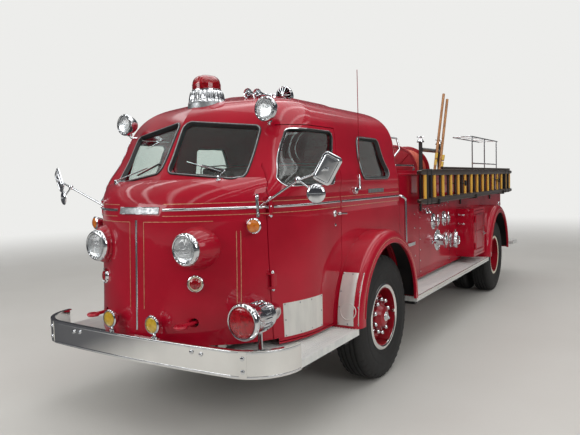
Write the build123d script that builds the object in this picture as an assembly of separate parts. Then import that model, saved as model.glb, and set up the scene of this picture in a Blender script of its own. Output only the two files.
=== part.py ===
from build123d import *
import math
import os

# Fire engine. Millimetres, front faces -Y, +X is the vehicle's left, +Z up.
# The origin lies on the ground, halfway along the vehicle and on its middle plane.

# Driving dimensions
OVERALL_LENGTH = 7900
WHEELBASE = 4218
FRONT_OVERHANG = 1870
TYRE_RADIUS = 527
TYRE_WIDTH = 270
RIM_RADIUS = 254
RIM_HALF_WIDTH = 100
FLANGE_RISE = 28
FLANGE_WIDTH = 12
TYRE_PLANE_X = 935
DUAL_SPACING = 318
KINGPIN_X = 770
WALL = 42
DOOR_GAP = 6
FENDER_OUTER_X = 1135
BODY_HALF_WIDTH = 860
CAB_FLOOR_Z = 600
STEP_TOP_Z = 578
STEP_THICKNESS = 48
RAIL_INNER_X = 355
RAIL_WIDTH = 75
RAIL_TOP_Z = 900
RAIL_BOTTOM_Z = 700
RAIL_FRONT = -1620
BODY_TOP_Z = 1780
BODY_FRONT = 830
BODY_REAR = 5620
ARCH_CENTRE_Z = 600
FENDER_RADIUS = 672
ARCH_OPENING_RADIUS = 560
BODY_ARCH_RADIUS = 640
TYRE_WELL_X = 450
REEL_AXIS_Z = 1800
REEL_RADIUS = 360
WELL_FRONT = 2760
WELL_REAR = 3500
BULKHEAD = 40
BED_FLOOR_Z = 1290
ROLLER_X = 450
ROLLER_Z = 2070
FIT = 0.05
GLASS_GAP = 0.3
DOOR_INNER_X = 700

FRONT_AXLE_Y = -OVERALL_LENGTH / 2 + FRONT_OVERHANG
REAR_END_Y = OVERALL_LENGTH / 2
AXLE_Z = TYRE_RADIUS
SIDES = (("left", 1), ("right", -1))


def behind_axle(distance):
    """Y of a place at this distance behind the front axle."""
    return FRONT_AXLE_Y + distance


REAR_AXLE_Y = behind_axle(WHEELBASE)


def block(x_range, y_range, z_range):
    """Box from its low and high faces along each axis."""
    size = [high - low for low, high in (x_range, y_range, z_range)]
    middle = [(high + low) / 2 for low, high in (x_range, y_range, z_range)]
    return Pos(*middle) * Box(*size)


def rod_x(radius, x_range, y, z):
    """Round bar along X."""
    return Pos(sum(x_range) / 2, y, z) * Rot(0, 90, 0) * Cylinder(radius, x_range[1] - x_range[0])


def rod_y(radius, x, y_range, z):
    """Round bar along Y."""
    return Pos(x, sum(y_range) / 2, z) * Rot(90, 0, 0) * Cylinder(radius, y_range[1] - y_range[0])


def rod_z(radius, x, y, z_range):
    """Round bar along Z."""
    return Pos(x, y, sum(z_range) / 2) * Cylinder(radius, z_range[1] - z_range[0])


def bar(start, end, radius):
    """Straight round bar between two points."""
    along = Vector(*end) - Vector(*start)
    return Plane(origin=Vector(*start) + along * 0.5, z_dir=along) * Cylinder(radius, along.length)


def tube(points, radius, bend):
    """Round bar along straight runs joined by tangent arcs."""
    path = FilletPolyline(*points, radius=bend)
    section = Plane(origin=path @ 0, z_dir=path % 0) * Circle(radius)
    return sweep(section, path=path)


def mirrored(shape, side):
    """The shape itself on the left, its mirror image on the right."""
    return shape if side > 0 else mirror(shape, about=Plane.YZ)


def group(*shapes):
    """Separate solids that share a node."""
    return Compound([solid for shape in shapes for solid in shape.solids()])


def both_sides(*shapes):
    """The shapes on the left and their mirror images on the right."""
    return group(*shapes, *[mirror(shape, about=Plane.YZ) for shape in shapes])


def turned(points, axis_point, direction, about=360):
    """Solid of revolution: (radius, distance along the axis) points turned about an axis."""
    axis = Vector(*direction)
    plane = Plane(origin=axis_point, z_dir=direction, x_dir=(0, 0, 1) if abs(axis.Z) < 0.9 else (1, 0, 0))
    profile = make_face(Polyline(*[(radius, 0, along) for radius, along in points], close=True))
    return plane * revolve(profile, axis=Axis.Z, revolution_arc=about)


def side_prism(points, x_range):
    """Outline in the side view, given as (distance behind the axle, z), run across in X."""
    outline = Polyline(*[(behind_axle(y), z) for y, z in points], close=True)
    face = make_face(outline)
    return extrude(Plane.YZ.offset(x_range[0]) * face, x_range[1] - x_range[0])


def arch_prism(radius, foot_z, centre_z, axle_y, x_range):
    """Wheel arch: a half round on two short legs, run across in X."""
    with BuildSketch(Plane.YZ.offset(x_range[0])) as sketch:
        with BuildLine():
            Line((axle_y + radius, foot_z), (axle_y + radius, centre_z))
            ThreePointArc((axle_y + radius, centre_z), (axle_y, centre_z + radius), (axle_y - radius, centre_z))
            Line((axle_y - radius, centre_z), (axle_y - radius, foot_z))
            Line((axle_y - radius, foot_z), (axle_y + radius, foot_z))
        make_face()
    return extrude(sketch.sketch, x_range[1] - x_range[0])


# Lower cab below the belt, as (z, distance of the nose ahead of the axle, half width, nose radius, corner radius)
LOWER_SECTIONS = (
    (600, 1804, 930, 950, 900),
    (1450, 1762, 940, 950, 910),
)
# Cowl rolled back over the belt, as (turn in degrees, half width, nose radius, corner radius)
COWL_START_Z = 1450
COWL_ROLL = 300
COWL_SECTIONS = (
    (0, 940, 950, 910),
    (25, 936, 1010, 800),
    (50, 926, 1150, 600),
    (72, 910, 1250, 450),
)
CAB_REAR = 762
REAR_CORNER_RADIUS = 90
# Cab upper part, as (z, distance of the screen's middle ahead of the axle, half width,
# corner radius, distance of the rear wall behind the axle)
UPPER_SECTIONS = (
    (1600, 1594, 932, 250, 762),
    (1900, 1418, 900, 240, 748),
    (2140, 1274, 862, 230, 715),
    (2240, 1190, 800, 220, 665),
    (2320, 1060, 660, 210, 590),
    (2372, 840, 450, 180, 470),
    (2398, 500, 200, 100, 250),
)
SCREEN_SWEEP = math.radians(16.7)
ROOF_START_Z = 2140
ROOF_RISE = 200


def nose_outline(z, nose, half_width, nose_radius, corner_radius, inset):
    """Plan outline of the lower cab: big nose arc, two corner arcs, straight sides and back."""
    half_width -= inset
    nose_radius -= inset
    corner_radius -= inset
    nose_centre_y = behind_axle(-nose + inset + nose_radius)
    corner_x = half_width - corner_radius
    reach = nose_radius - corner_radius
    corner_y = nose_centre_y - math.sqrt(reach ** 2 - corner_x ** 2)
    turn = math.atan2(corner_x, nose_centre_y - corner_y)
    joint = (nose_radius * math.sin(turn), nose_centre_y - nose_radius * math.cos(turn))
    half = turn / 2
    nose_middle = (nose_radius * math.sin(half), nose_centre_y - nose_radius * math.cos(half))
    tip = (0, nose_centre_y - nose_radius)
    swing = (turn + math.pi / 2) / 2
    corner_middle = (corner_x + corner_radius * math.sin(swing), corner_y - corner_radius * math.cos(swing))
    rear_y = behind_axle(CAB_REAR - inset)
    rear_radius = REAR_CORNER_RADIUS - inset
    bend = rear_radius * math.sqrt(0.5)
    rear_middle = (half_width - rear_radius + bend, rear_y - rear_radius + bend)

    def flip(point):
        return (-point[0], point[1])

    side_front = (half_width, corner_y)
    side_rear = (half_width, rear_y - rear_radius)
    back = (half_width - rear_radius, rear_y)
    with BuildSketch(Plane.XY.offset(z)) as sketch:
        with BuildLine():
            ThreePointArc(tip, nose_middle, joint)
            ThreePointArc(joint, corner_middle, side_front)
            Line(side_front, side_rear)
            ThreePointArc(side_rear, rear_middle, back)
            Line(back, flip(back))
            ThreePointArc(flip(back), flip(rear_middle), flip(side_rear))
            Line(flip(side_rear), flip(side_front))
            ThreePointArc(flip(side_front), flip(corner_middle), flip(joint))
            ThreePointArc(flip(joint), flip(nose_middle), tip)
        make_face()
    return sketch.sketch.face()


def upper_outline(z, screen, half_width, corner_radius, rear, inset):
    """Plan outline of the upper cab: two swept screens, corner arcs, straight sides and back."""
    half_width -= inset
    corner_radius -= inset / 2
    tip = (0, behind_axle(-screen + inset / math.cos(SCREEN_SWEEP)))
    corner_x = half_width - corner_radius
    joint_x = corner_x + corner_radius * math.sin(SCREEN_SWEEP)
    joint = (joint_x, tip[1] + joint_x * math.tan(SCREEN_SWEEP))
    corner_y = joint[1] + corner_radius * math.cos(SCREEN_SWEEP)
    swing = (SCREEN_SWEEP + math.pi / 2) / 2
    corner_middle = (corner_x + corner_radius * math.sin(swing), corner_y - corner_radius * math.cos(swing))
    rear_y = behind_axle(rear - inset)
    rear_radius = min(REAR_CORNER_RADIUS, corner_radius) - inset / 2
    bend = rear_radius * math.sqrt(0.5)
    rear_middle = (half_width - rear_radius + bend, rear_y - rear_radius + bend)

    def flip(point):
        return (-point[0], point[1])

    side_front = (half_width, corner_y)
    side_rear = (half_width, rear_y - rear_radius)
    back = (half_width - rear_radius, rear_y)
    with BuildSketch(Plane.XY.offset(z)) as sketch:
        with BuildLine():
            Line(tip, joint)
            ThreePointArc(joint, corner_middle, side_front)
            Line(side_front, side_rear)
            ThreePointArc(side_rear, rear_middle, back)
            Line(back, flip(back))
            ThreePointArc(flip(back), flip(rear_middle), flip(side_rear))
            Line(flip(side_rear), flip(side_front))
            ThreePointArc(flip(side_front), flip(corner_middle), flip(joint))
            Line(flip(joint), tip)
        make_face()
    return sketch.sketch.face()


def cab_solid(inset):
    """The cab as one solid, its faces moved inwards by the inset."""
    lower = loft([nose_outline(*section, inset) for section in LOWER_SECTIONS], ruled=True)
    roll = COWL_ROLL - inset
    cowl_faces = []
    for turn, half_width, nose_radius, corner_radius in COWL_SECTIONS:
        z = COWL_START_Z + roll * math.sin(math.radians(turn))
        nose = LOWER_SECTIONS[-1][1] - roll * (1 - math.cos(math.radians(turn)))
        cowl_faces.append(nose_outline(z, nose, half_width, nose_radius, corner_radius, inset))
    upper_faces = []
    for z, screen, half_width, corner_radius, rear in UPPER_SECTIONS:
        drop = inset * max(0, min(1, (z - ROOF_START_Z) / ROOF_RISE))
        upper_faces.append(upper_outline(z - drop, screen, half_width, corner_radius, rear, inset))
    return lower + loft(cowl_faces) + loft(upper_faces)


def door_outline(grow):
    """Side view of the door opening: slanted at the screen pillar, cut round the fender below."""
    arch = FENDER_RADIUS + 30 - grow
    front, rear, top, sill, bottom = 1345 + grow, 548 - grow, 2104 + grow, 1650, CAB_FLOOR_Z + 12 - grow
    meet_z = ARCH_CENTRE_Z + math.sqrt(arch ** 2 - rear ** 2)
    foot = math.sqrt(arch ** 2 - (bottom - ARCH_CENTRE_Z) ** 2)
    middle = math.radians(35)
    with BuildSketch(Plane.YZ.offset(DOOR_INNER_X)) as sketch:
        with BuildLine():
            Polyline(
                (behind_axle(-foot), bottom),
                (behind_axle(-front), bottom),
                (behind_axle(-front), sill),
                (behind_axle(-1130 - grow), top),
                (behind_axle(-515 + grow), top),
                (behind_axle(-rear), sill),
                (behind_axle(-rear), meet_z),
            )
            ThreePointArc(
                (behind_axle(-rear), meet_z),
                (behind_axle(-arch * math.cos(middle)), ARCH_CENTRE_Z + arch * math.sin(middle)),
                (behind_axle(-foot), bottom),
            )
        make_face()
    return extrude(sketch.sketch, 400)


DOOR_WINDOW = ((-1308, 1675), (-1068, 2068), (-556, 2068), (-665, 1675))
QUARTER_WINDOW = ((-155, 1712), (-140, 2045), (285, 2045), (448, 1712))
SCREEN_PANE = ((40, 1790), (26, 2160), (606, 2094), (616, 1728))


def window_prism(points, radius, shrink=0):
    """Side window with rounded corners, run through the left cab wall."""
    face = make_face(Polyline(*[(behind_axle(y), z) for y, z in points], close=True))
    face = fillet(face.vertices(), radius)
    if shrink:
        face = offset(face, -shrink)
    return extrude(Plane.YZ.offset(600) * face, 500)


def screen_prism(shrink=0):
    """One windscreen pane with rounded corners, run through the front of the cab."""
    face = fillet(make_face(Polyline(*SCREEN_PANE, close=True)).vertices(), 45)
    if shrink:
        face = offset(face, -shrink)
    return extrude(Plane(origin=(0, behind_axle(-900), 0), x_dir=(1, 0, 0), z_dir=(0, -1, 0)) * face, 900)


# Strap hinges of the cab doors
HINGE_X = 826
HINGE_Y = behind_axle(-1352)
HINGE_HEIGHTS = (1040, 1535)
HINGE_PIN = 7
HINGE_BARREL = 12
HINGE_HALF = 40
LUG_HEIGHT = 15
DOOR_CORNER_REACH = 95


def hinge_lugs():
    """Left hinge pins, each held between two lugs that stand on the cab skin."""
    pieces = []
    for z in HINGE_HEIGHTS:
        outer = HINGE_HALF + 1 + LUG_HEIGHT
        hinge = rod_z(HINGE_PIN, HINGE_X, HINGE_Y, (z - outer, z + outer))
        for low in (z - outer, z + outer - LUG_HEIGHT):
            lug_z = (low, low + LUG_HEIGHT)
            hinge += rod_z(HINGE_BARREL, HINGE_X, HINGE_Y, lug_z)
            hinge += block((760, HINGE_X + 6), (HINGE_Y - HINGE_BARREL, HINGE_Y + 6), lug_z)
        pieces.append(hinge)
    return pieces[0] + pieces[1]


def hinge_barrels():
    """Left hinge barrels with their leaves, which belong to the door."""
    pieces = []
    for z in HINGE_HEIGHTS:
        span = (z - HINGE_HALF, z + HINGE_HALF)
        barrel = rod_z(HINGE_BARREL, HINGE_X, HINGE_Y, span)
        barrel += block((HINGE_X - 12, HINGE_X - 4), (HINGE_Y, HINGE_Y + 62), span)
        pieces.append(barrel - rod_z(HINGE_PIN + FIT, HINGE_X, HINGE_Y, (span[0] - 5, span[1] + 5)))
    return pieces[0] + pieces[1]


def cab_parts():
    """Cab shell, doors, fixed glass and door glass, cut from the same faces."""
    outer = cab_solid(0)
    cavity = cab_solid(WALL)
    open_floor = block((-830, 830), (behind_axle(-1700), behind_axle(CAB_REAR - WALL - 10)), (500, 640))
    shell = outer - cavity - open_floor
    glass = cab_solid(WALL / 2) - cab_solid(WALL / 2 + 6)
    arch = arch_prism(BODY_ARCH_RADIUS, CAB_FLOOR_Z - 10, ARCH_CENTRE_Z, FRONT_AXLE_Y, (TYRE_WELL_X, 1200))
    opening = door_outline(0)
    window = window_prism(DOOR_WINDOW, 40)
    quarter = window_prism(QUARTER_WINDOW, 55)
    screen = screen_prism()
    hook_hole = rod_y(30, 420, (behind_axle(-1850), behind_axle(-1600)), 790)
    door = (shell & door_outline(-DOOR_GAP)) - window
    door += hinge_barrels() - cab_solid(WALL / 2)
    lugs = hinge_lugs() - cab_solid(WALL / 2)
    body = shell
    for cut in (arch, opening, quarter, screen, hook_hole):
        body = body - cut - mirror(cut, about=Plane.YZ)
    body = body + lugs + mirror(lugs, about=Plane.YZ)
    body -= block((-480, 480), (behind_axle(600), behind_axle(800)), (CAB_FLOOR_Z - 10, RAIL_TOP_Z))
    pane = glass & screen_prism(GLASS_GAP)
    quarter_pane = glass & window_prism(QUARTER_WINDOW, 55, GLASS_GAP)
    door_pane = glass & window_prism(DOOR_WINDOW, 40, GLASS_GAP) & door_outline(-DOOR_GAP)
    return body, door, group(*[s for p in (pane, quarter_pane) for s in both_sides(p).solids()]), door_pane, outer


def leaf_spring(centre_x, axle_y, seat_z, reach):
    """Bowed leaf pack from an axle seat up to the underside of a frame rail."""
    thickness, seat, eye = 55, 130, 60
    points = (
        (-reach, RAIL_BOTTOM_Z),
        (-reach, RAIL_BOTTOM_Z - 40),
        (-seat, seat_z),
        (seat, seat_z),
        (reach, RAIL_BOTTOM_Z - 40),
        (reach, RAIL_BOTTOM_Z),
        (reach - eye, RAIL_BOTTOM_Z),
        (seat, seat_z + thickness),
        (-seat, seat_z + thickness),
        (-reach + eye, RAIL_BOTTOM_Z),
    )
    shifted = [(axle_y - FRONT_AXLE_Y + y, z) for y, z in points]
    return side_prism(shifted, (centre_x - 32, centre_x + 32))


TOW_BORE = 22
TOW_EYE_Y = -1820


def frame_rails():
    """Two channel rails, cross members and the two front towing eyes."""
    rail_front, rail_rear = behind_axle(RAIL_FRONT), behind_axle(BODY_REAR - BULKHEAD)
    rail_x = (RAIL_INNER_X, RAIL_INNER_X + RAIL_WIDTH)
    channel = block(rail_x, (rail_front, rail_rear), (RAIL_BOTTOM_Z, RAIL_TOP_Z))
    web_gap = block((RAIL_INNER_X - 1, rail_x[1] - 10), (rail_front - 1, rail_rear + 1),
                    (RAIL_BOTTOM_Z + 10, RAIL_TOP_Z - 10))
    channel -= web_gap
    shank = rod_y(12, 420, (behind_axle(TOW_EYE_Y + TOW_BORE + 8), rail_front), 790)
    eye = turned(((TOW_BORE, -11), (TOW_BORE + 16, -11), (TOW_BORE + 24, 0), (TOW_BORE + 16, 11), (TOW_BORE, 11)),
                 (420, behind_axle(TOW_EYE_Y), 790), (0, 0, 1))
    frame = channel + shank + eye
    frame += mirror(frame, about=Plane.YZ)
    for distance in (-1600, ENGINE_Y[0] - 60, ENGINE_Y[1], 1500, 2400, 3300, 4900, 5480):
        y = behind_axle(distance)
        frame += block((-rail_x[1] + 10, rail_x[1] - 10), (y, y + 60), (RAIL_BOTTOM_Z + 10, RAIL_TOP_Z - 10))
    return frame


ENGINE_X, ENGINE_Y, ENGINE_Z = 300, (-600, 620), (640, 1190)


def engine_block():
    """Closed-in engine as one plain block between the rails."""
    return block((-ENGINE_X, ENGINE_X), [behind_axle(y) for y in ENGINE_Y], ENGINE_Z)


FRONT_BEAM_TOP = 545
YOKE_GAP = 130


def front_axle():
    """Forged beam with forked ends round the steering knuckles, on two leaf springs."""
    y = FRONT_AXLE_Y
    beam = block((-560, 560), (y - 40, y + 40), (FRONT_BEAM_TOP - 95, FRONT_BEAM_TOP))
    fork = block((540, KINGPIN_X + 38), (y - 38, y + 38), (AXLE_Z - YOKE_GAP / 2 - 40, AXLE_Z + YOKE_GAP / 2 + 40))
    throat = block((640, KINGPIN_X + 50), (y - 50, y + 50), (AXLE_Z - YOKE_GAP / 2, AXLE_Z + YOKE_GAP / 2))
    fork -= throat
    pin = rod_z(22, KINGPIN_X, y, (AXLE_Z - YOKE_GAP / 2 - 52, AXLE_Z + YOKE_GAP / 2 + 52))
    spring = leaf_spring(RAIL_INNER_X + RAIL_WIDTH / 2, y, FRONT_BEAM_TOP - 10, 560)
    side = fork + pin + spring
    return beam + side + mirror(side, about=Plane.YZ)


def rear_axle():
    """Banjo housing with tubes to both hubs, propeller shaft and two leaf springs."""
    y = REAR_AXLE_Y
    housing = Pos(0, y, AXLE_Z) * Sphere(175) + rod_x(78, (-470, 470), y, AXLE_Z)
    spindles = rod_x(48, (-840, 840), y, AXLE_Z)
    shaft = rod_y(38, 0, (behind_axle(ENGINE_Y[1] + 60), y), AXLE_Z + 120)
    spring = leaf_spring(RAIL_INNER_X + RAIL_WIDTH / 2, y, AXLE_Z + 65, 620)
    return housing + spindles + shaft + spring + mirror(spring, about=Plane.YZ)


KNUCKLE_LENGTH = 118


def knuckle():
    """Left steering knuckle: boss on the kingpin, brake plate and wheel spindle."""
    y = FRONT_AXLE_Y
    boss = rod_z(42, KINGPIN_X, y, (AXLE_Z - KNUCKLE_LENGTH / 2, AXLE_Z + KNUCKLE_LENGTH / 2))
    boss += rod_x(40, (KINGPIN_X, KINGPIN_X + 75), y, AXLE_Z)
    plate = rod_x(180, (KINGPIN_X + 62, KINGPIN_X + 72), y, AXLE_Z)
    spindle = rod_x(30, (KINGPIN_X + 60, 1000), y, AXLE_Z)
    arm = block((KINGPIN_X - 30, KINGPIN_X + 20), (y + 20, y + 170), (AXLE_Z - 55, AXLE_Z - 25))
    return boss + plate + spindle + arm - rod_z(22 + FIT, KINGPIN_X, y, (AXLE_Z - 90, AXLE_Z + 90))


def tyre(centre_x, y):
    """Tyre with a ribbed shoulder step, turned about the axle."""
    half = TYRE_WIDTH / 2
    flange_top = RIM_RADIUS + FLANGE_RISE
    points = (
        (RIM_RADIUS, -RIM_HALF_WIDTH),
        (flange_top, -RIM_HALF_WIDTH),
        (flange_top, -RIM_HALF_WIDTH - FLANGE_WIDTH),
        (flange_top + 14, -half + 12),
        (RIM_RADIUS + 130, -half),
        (TYRE_RADIUS - 62, -half + 8),
        (TYRE_RADIUS - 18, -half + 26),
        (TYRE_RADIUS - 3, -half + 52),
        (TYRE_RADIUS, 0),
        (TYRE_RADIUS - 3, half - 52),
        (TYRE_RADIUS - 18, half - 26),
        (TYRE_RADIUS - 62, half - 8),
        (RIM_RADIUS + 130, half),
        (flange_top + 14, half - 12),
        (flange_top, RIM_HALF_WIDTH + FLANGE_WIDTH),
        (flange_top, RIM_HALF_WIDTH),
        (RIM_RADIUS, RIM_HALF_WIDTH),
    )
    return turned(points, (centre_x, y, AXLE_Z), (1, 0, 0))


def rim_points(outer_face, disc_at):
    """Half section of a disc wheel: rim well, flanges and a dished disc, from the tyre's middle plane."""
    bead, edge = RIM_HALF_WIDTH, RIM_HALF_WIDTH + FLANGE_WIDTH
    flange_top = RIM_RADIUS + FLANGE_RISE
    return (
        (flange_top, edge),
        (flange_top, bead),
        (RIM_RADIUS, bead),
        (RIM_RADIUS, -bead),
        (flange_top, -bead),
        (flange_top, -edge),
        (RIM_RADIUS - 14, -edge),
        (RIM_RADIUS - 14, disc_at - 14),
        (175, outer_face - 14),
        (62, outer_face - 14),
        (62, outer_face),
        (175, outer_face),
        (RIM_RADIUS - 14, disc_at + 16),
        (RIM_RADIUS - 14, edge),
    )


HAND_HOLES = 5
WHEEL_NUTS = 10
NUT_CIRCLE = 143


def front_wheel():
    """Left front wheel: rim, dished disc with oval hand holes, hub, drum and domed nuts."""
    y = FRONT_AXLE_Y
    centre = (TYRE_PLANE_X, y, AXLE_Z)
    wheel = turned(rim_points(52, -10), centre, (1, 0, 0))
    hub = turned(((30 + FIT, -62), (178, -62), (178, 30), (110, 38), (110, 78), (82, 118), (40, 132), (0, 134),
                  (0, 70), (30 + FIT, 70)), centre, (1, 0, 0))
    return wheel_details(wheel + hub, centre, 52, 1)


def wheel_details(wheel, centre, face, side):
    """Hand holes through the disc and a ring of domed nuts on it."""
    x, y, z = centre
    for index in range(HAND_HOLES):
        angle = math.radians(index * 360 / HAND_HOLES + 18)
        hole = Rot(X=-math.degrees(angle)) * Pos(0, 0, 207) * Rot(0, 90, 0) * extrude(SlotCenterToCenter(46, 36), 400)
        wheel -= Pos(x - 200, y, z) * hole
    for index in range(WHEEL_NUTS):
        angle = math.radians(index * 360 / WHEEL_NUTS)
        nut_y, nut_z = y + NUT_CIRCLE * math.sin(angle), z + NUT_CIRCLE * math.cos(angle)
        wheel += turned(((0, face - 2), (16, face - 2), (16, face + 20), (9, face + 30), (0, face + 33)),
                        (x, nut_y, nut_z), (side, 0, 0))
    return wheel


def rear_wheels():
    """Left twin rear wheels on one hub; the outer disc is dished inwards."""
    y = REAR_AXLE_Y
    outer_plane = (TYRE_PLANE_X, y, AXLE_Z)
    middle = TYRE_PLANE_X - DUAL_SPACING / 2
    disc = -DUAL_SPACING / 2 + 14
    outer = turned(rim_points(disc, disc + 40), outer_plane, (1, 0, 0))
    inner = mirror(outer, about=Plane.YZ.offset(middle))
    hub = turned(((48 + FIT, -210), (150, -210), (150, disc - 20), (92, disc), (92, -40), (70, 30), (40, 45),
                  (0, 46), (0, -80), (48 + FIT, -80)), outer_plane, (1, 0, 0))
    return wheel_details(outer + inner + hub, outer_plane, disc, 1)


def rear_tyres():
    return group(*[tyre(x, REAR_AXLE_Y) for x in (TYRE_PLANE_X, TYRE_PLANE_X - DUAL_SPACING)])


def fender(axle_y, inner_x):
    """Crowned fender: top skin and outer flange round the wheel opening."""
    foot = STEP_TOP_Z
    crown = arch_prism(FENDER_RADIUS, foot, ARCH_CENTRE_Z, axle_y, (inner_x, FENDER_OUTER_X))
    crown = fillet(crown.faces().sort_by(Axis.X)[-1].edges().filter_by(GeomType.CIRCLE), 68)
    cavity = arch_prism(FENDER_RADIUS - 18, foot - 5, ARCH_CENTRE_Z, axle_y, (inner_x - 5, FENDER_OUTER_X - 22))
    cavity = fillet(cavity.faces().sort_by(Axis.X)[-1].edges().filter_by(GeomType.CIRCLE), 50)
    opening = arch_prism(ARCH_OPENING_RADIUS, foot - 5, ARCH_CENTRE_Z, axle_y, (inner_x - 5, FENDER_OUTER_X + 5))
    return crown - cavity - opening


SEAT_DECK_Z = 1250
DECK_FRONT = -690


def cab_interior(cavity):
    """Floor, riser and deck over the wheels, dash, steering column and wheel."""
    floor = block((-900, 900), (behind_axle(-1740), behind_axle(DECK_FRONT)), (RAIL_TOP_Z, RAIL_TOP_Z + 28))
    riser = block((-900, 900), (behind_axle(DECK_FRONT), behind_axle(DECK_FRONT + 28)), (RAIL_TOP_Z, SEAT_DECK_Z))
    deck = block((-900, 900), (behind_axle(DECK_FRONT), behind_axle(700)), (SEAT_DECK_Z, SEAT_DECK_Z + 28))
    dash = side_prism(((-1700, 1430), (-1330, 1430), (-1290, 1560), (-1360, 1640), (-1700, 1640)), (-900, 900))
    lining = (floor + riser + deck + dash) & cavity
    swing = rod_z(DOOR_CORNER_REACH, HINGE_X, HINGE_Y, (CAB_FLOOR_Z, BODY_TOP_Z))
    beside_door = door_outline(DOOR_GAP) - cab_solid(WALL + DOOR_GAP)
    for cut in (swing, beside_door):
        lining = lining - cut - mirror(cut, about=Plane.YZ)
    hub = Vector(WHEEL_HUB[0], behind_axle(WHEEL_HUB[1]), WHEEL_HUB[2])
    foot = Vector(WHEEL_HUB[0], behind_axle(-1500), RAIL_TOP_Z + 20)
    tilt = (hub - foot).normalized()
    column = Plane(origin=(hub + foot) * 0.5, z_dir=tilt) * Cylinder(22, (hub - foot).length)
    ring = Plane(origin=hub, z_dir=tilt) * Torus(215, 12)
    spokes = [Plane(origin=hub, z_dir=tilt) * Rot(Z=turn) * Box(430, 22, 12) for turn in (0, 60, 120)]
    boss = Plane(origin=hub, z_dir=tilt) * Cylinder(45, 30)
    return lining + column + boss + ring + spokes[0] + spokes[1] + spokes[2]


WHEEL_HUB = (400, -1065, 1520)


def cab_seat():
    """Bench seat: cushion and back."""
    y = behind_axle(DECK_FRONT + 30)
    low = SEAT_DECK_Z + 28
    cushion = block((-760, 760), (y, y + 430), (low, low + 120))
    back = block((-760, 760), (y + 430, y + 530), (low, low + 560))
    return group(fillet(cushion.edges(), 25), fillet(back.edges(), 25))


BUMPER_Z = (530, 700)
BUMPER_END = (1125, -1505)
BUMPER_CORNER = 330
BUMPER_LIP = 32
BUMPER_SKIN = 8


def bumper_region(inset):
    """Plan outline filled by the bumper: gentle bow and two wrapped ends."""
    front, shoulder = FRONT_OVERHANG - inset, 1838 - inset
    end_x, end_y = BUMPER_END[0] - inset, BUMPER_END[1]
    corner = BUMPER_CORNER - inset
    joint_x = end_x - corner
    bend = corner * math.sqrt(0.5)
    with BuildSketch(Plane.XY.offset(BUMPER_Z[0])) as sketch:
        with BuildLine():
            ThreePointArc((-joint_x, behind_axle(-shoulder)), (0, behind_axle(-front)),
                          (joint_x, behind_axle(-shoulder)))
            ThreePointArc((joint_x, behind_axle(-shoulder)), (joint_x + bend, behind_axle(-shoulder + corner - bend)),
                          (end_x, behind_axle(-shoulder + corner)))
            Line((end_x, behind_axle(-shoulder + corner)), (end_x, behind_axle(end_y)))
            Line((end_x, behind_axle(end_y)), (-end_x, behind_axle(end_y)))
            Line((-end_x, behind_axle(end_y)), (-end_x, behind_axle(-shoulder + corner)))
            ThreePointArc((-end_x, behind_axle(-shoulder + corner)),
                          (-joint_x - bend, behind_axle(-shoulder + corner - bend)),
                          (-joint_x, behind_axle(-shoulder)))
        make_face()
    return sketch.sketch.face()


def front_bumper():
    """Deep channel bumper with rolled lips, on two irons from the frame rails."""
    low, high = BUMPER_Z
    wall = extrude(bumper_region(0), high - low) - extrude(bumper_region(BUMPER_SKIN), high - low)
    lips = extrude(bumper_region(0), BUMPER_SKIN) - extrude(bumper_region(BUMPER_LIP), BUMPER_SKIN)
    channel = wall + lips + Pos(0, 0, high - low - BUMPER_SKIN) * lips
    rail_x = (RAIL_INNER_X, RAIL_INNER_X + RAIL_WIDTH)
    iron = block(rail_x, (behind_axle(-1857), behind_axle(-1500)), (low + 10, CAB_FLOOR_Z - 15))
    iron += block(rail_x, (behind_axle(-1600), behind_axle(-1500)), (low + 10, RAIL_BOTTOM_Z))
    return channel + iron + mirror(iron, about=Plane.YZ)


BOARD_OUTER_X = 1112
STEP_INNER_X = 500


def running_boards():
    """Front steps behind the bumper and long boards between the fenders, each on outriggers."""
    low, high = STEP_TOP_Z - STEP_THICKNESS, STEP_TOP_Z
    pieces = []
    step_shape = extrude(bumper_region(BUMPER_LIP), STEP_TOP_Z - BUMPER_Z[0])
    step = step_shape & block((STEP_INNER_X, BOARD_OUTER_X), (behind_axle(-1780), behind_axle(-1440)), (low, high))
    step += block((STEP_INNER_X, BOARD_OUTER_X), (behind_axle(BUMPER_END[1]), behind_axle(-640)), (low, high))
    board = block((BODY_HALF_WIDTH - 120, BOARD_OUTER_X), (behind_axle(640), behind_axle(WHEELBASE - 640)),
                  (low, high))
    for tread, ends in ((step, (-1440, -640)), (board, (640, WHEELBASE - 640))):
        for distance in (ends[0] + 60, (ends[0] + ends[1]) / 2, ends[1] - 160):
            y = (behind_axle(distance), behind_axle(distance + 60))
            tread += block((RAIL_INNER_X, BOARD_OUTER_X - 40), y, (low - 40, low))
            tread += block((RAIL_INNER_X, RAIL_INNER_X + RAIL_WIDTH), y, (low - 40, RAIL_BOTTOM_Z))
        pieces.append(tread)
    return both_sides(*pieces)


def tailboard():
    """Rear step with an upturned flange against the body."""
    plate = block((-1050, 1050), (behind_axle(BODY_REAR), REAR_END_Y), (STEP_TOP_Z - STEP_THICKNESS, STEP_TOP_Z))
    plate = fillet(plate.edges().filter_by(Axis.Z).sort_by(Axis.Y)[-2:], 80)
    flange = block((-800, 800), (behind_axle(BODY_REAR), behind_axle(BODY_REAR) + 10), (STEP_TOP_Z, 780))
    plate += flange
    for x in (-700, -40, 620):
        plate += block((x, x + 80), (behind_axle(BODY_REAR), REAR_END_Y - 60), (STEP_TOP_Z - STEP_THICKNESS - 40,
                                                                             STEP_TOP_Z - STEP_THICKNESS))
    return plate


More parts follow.
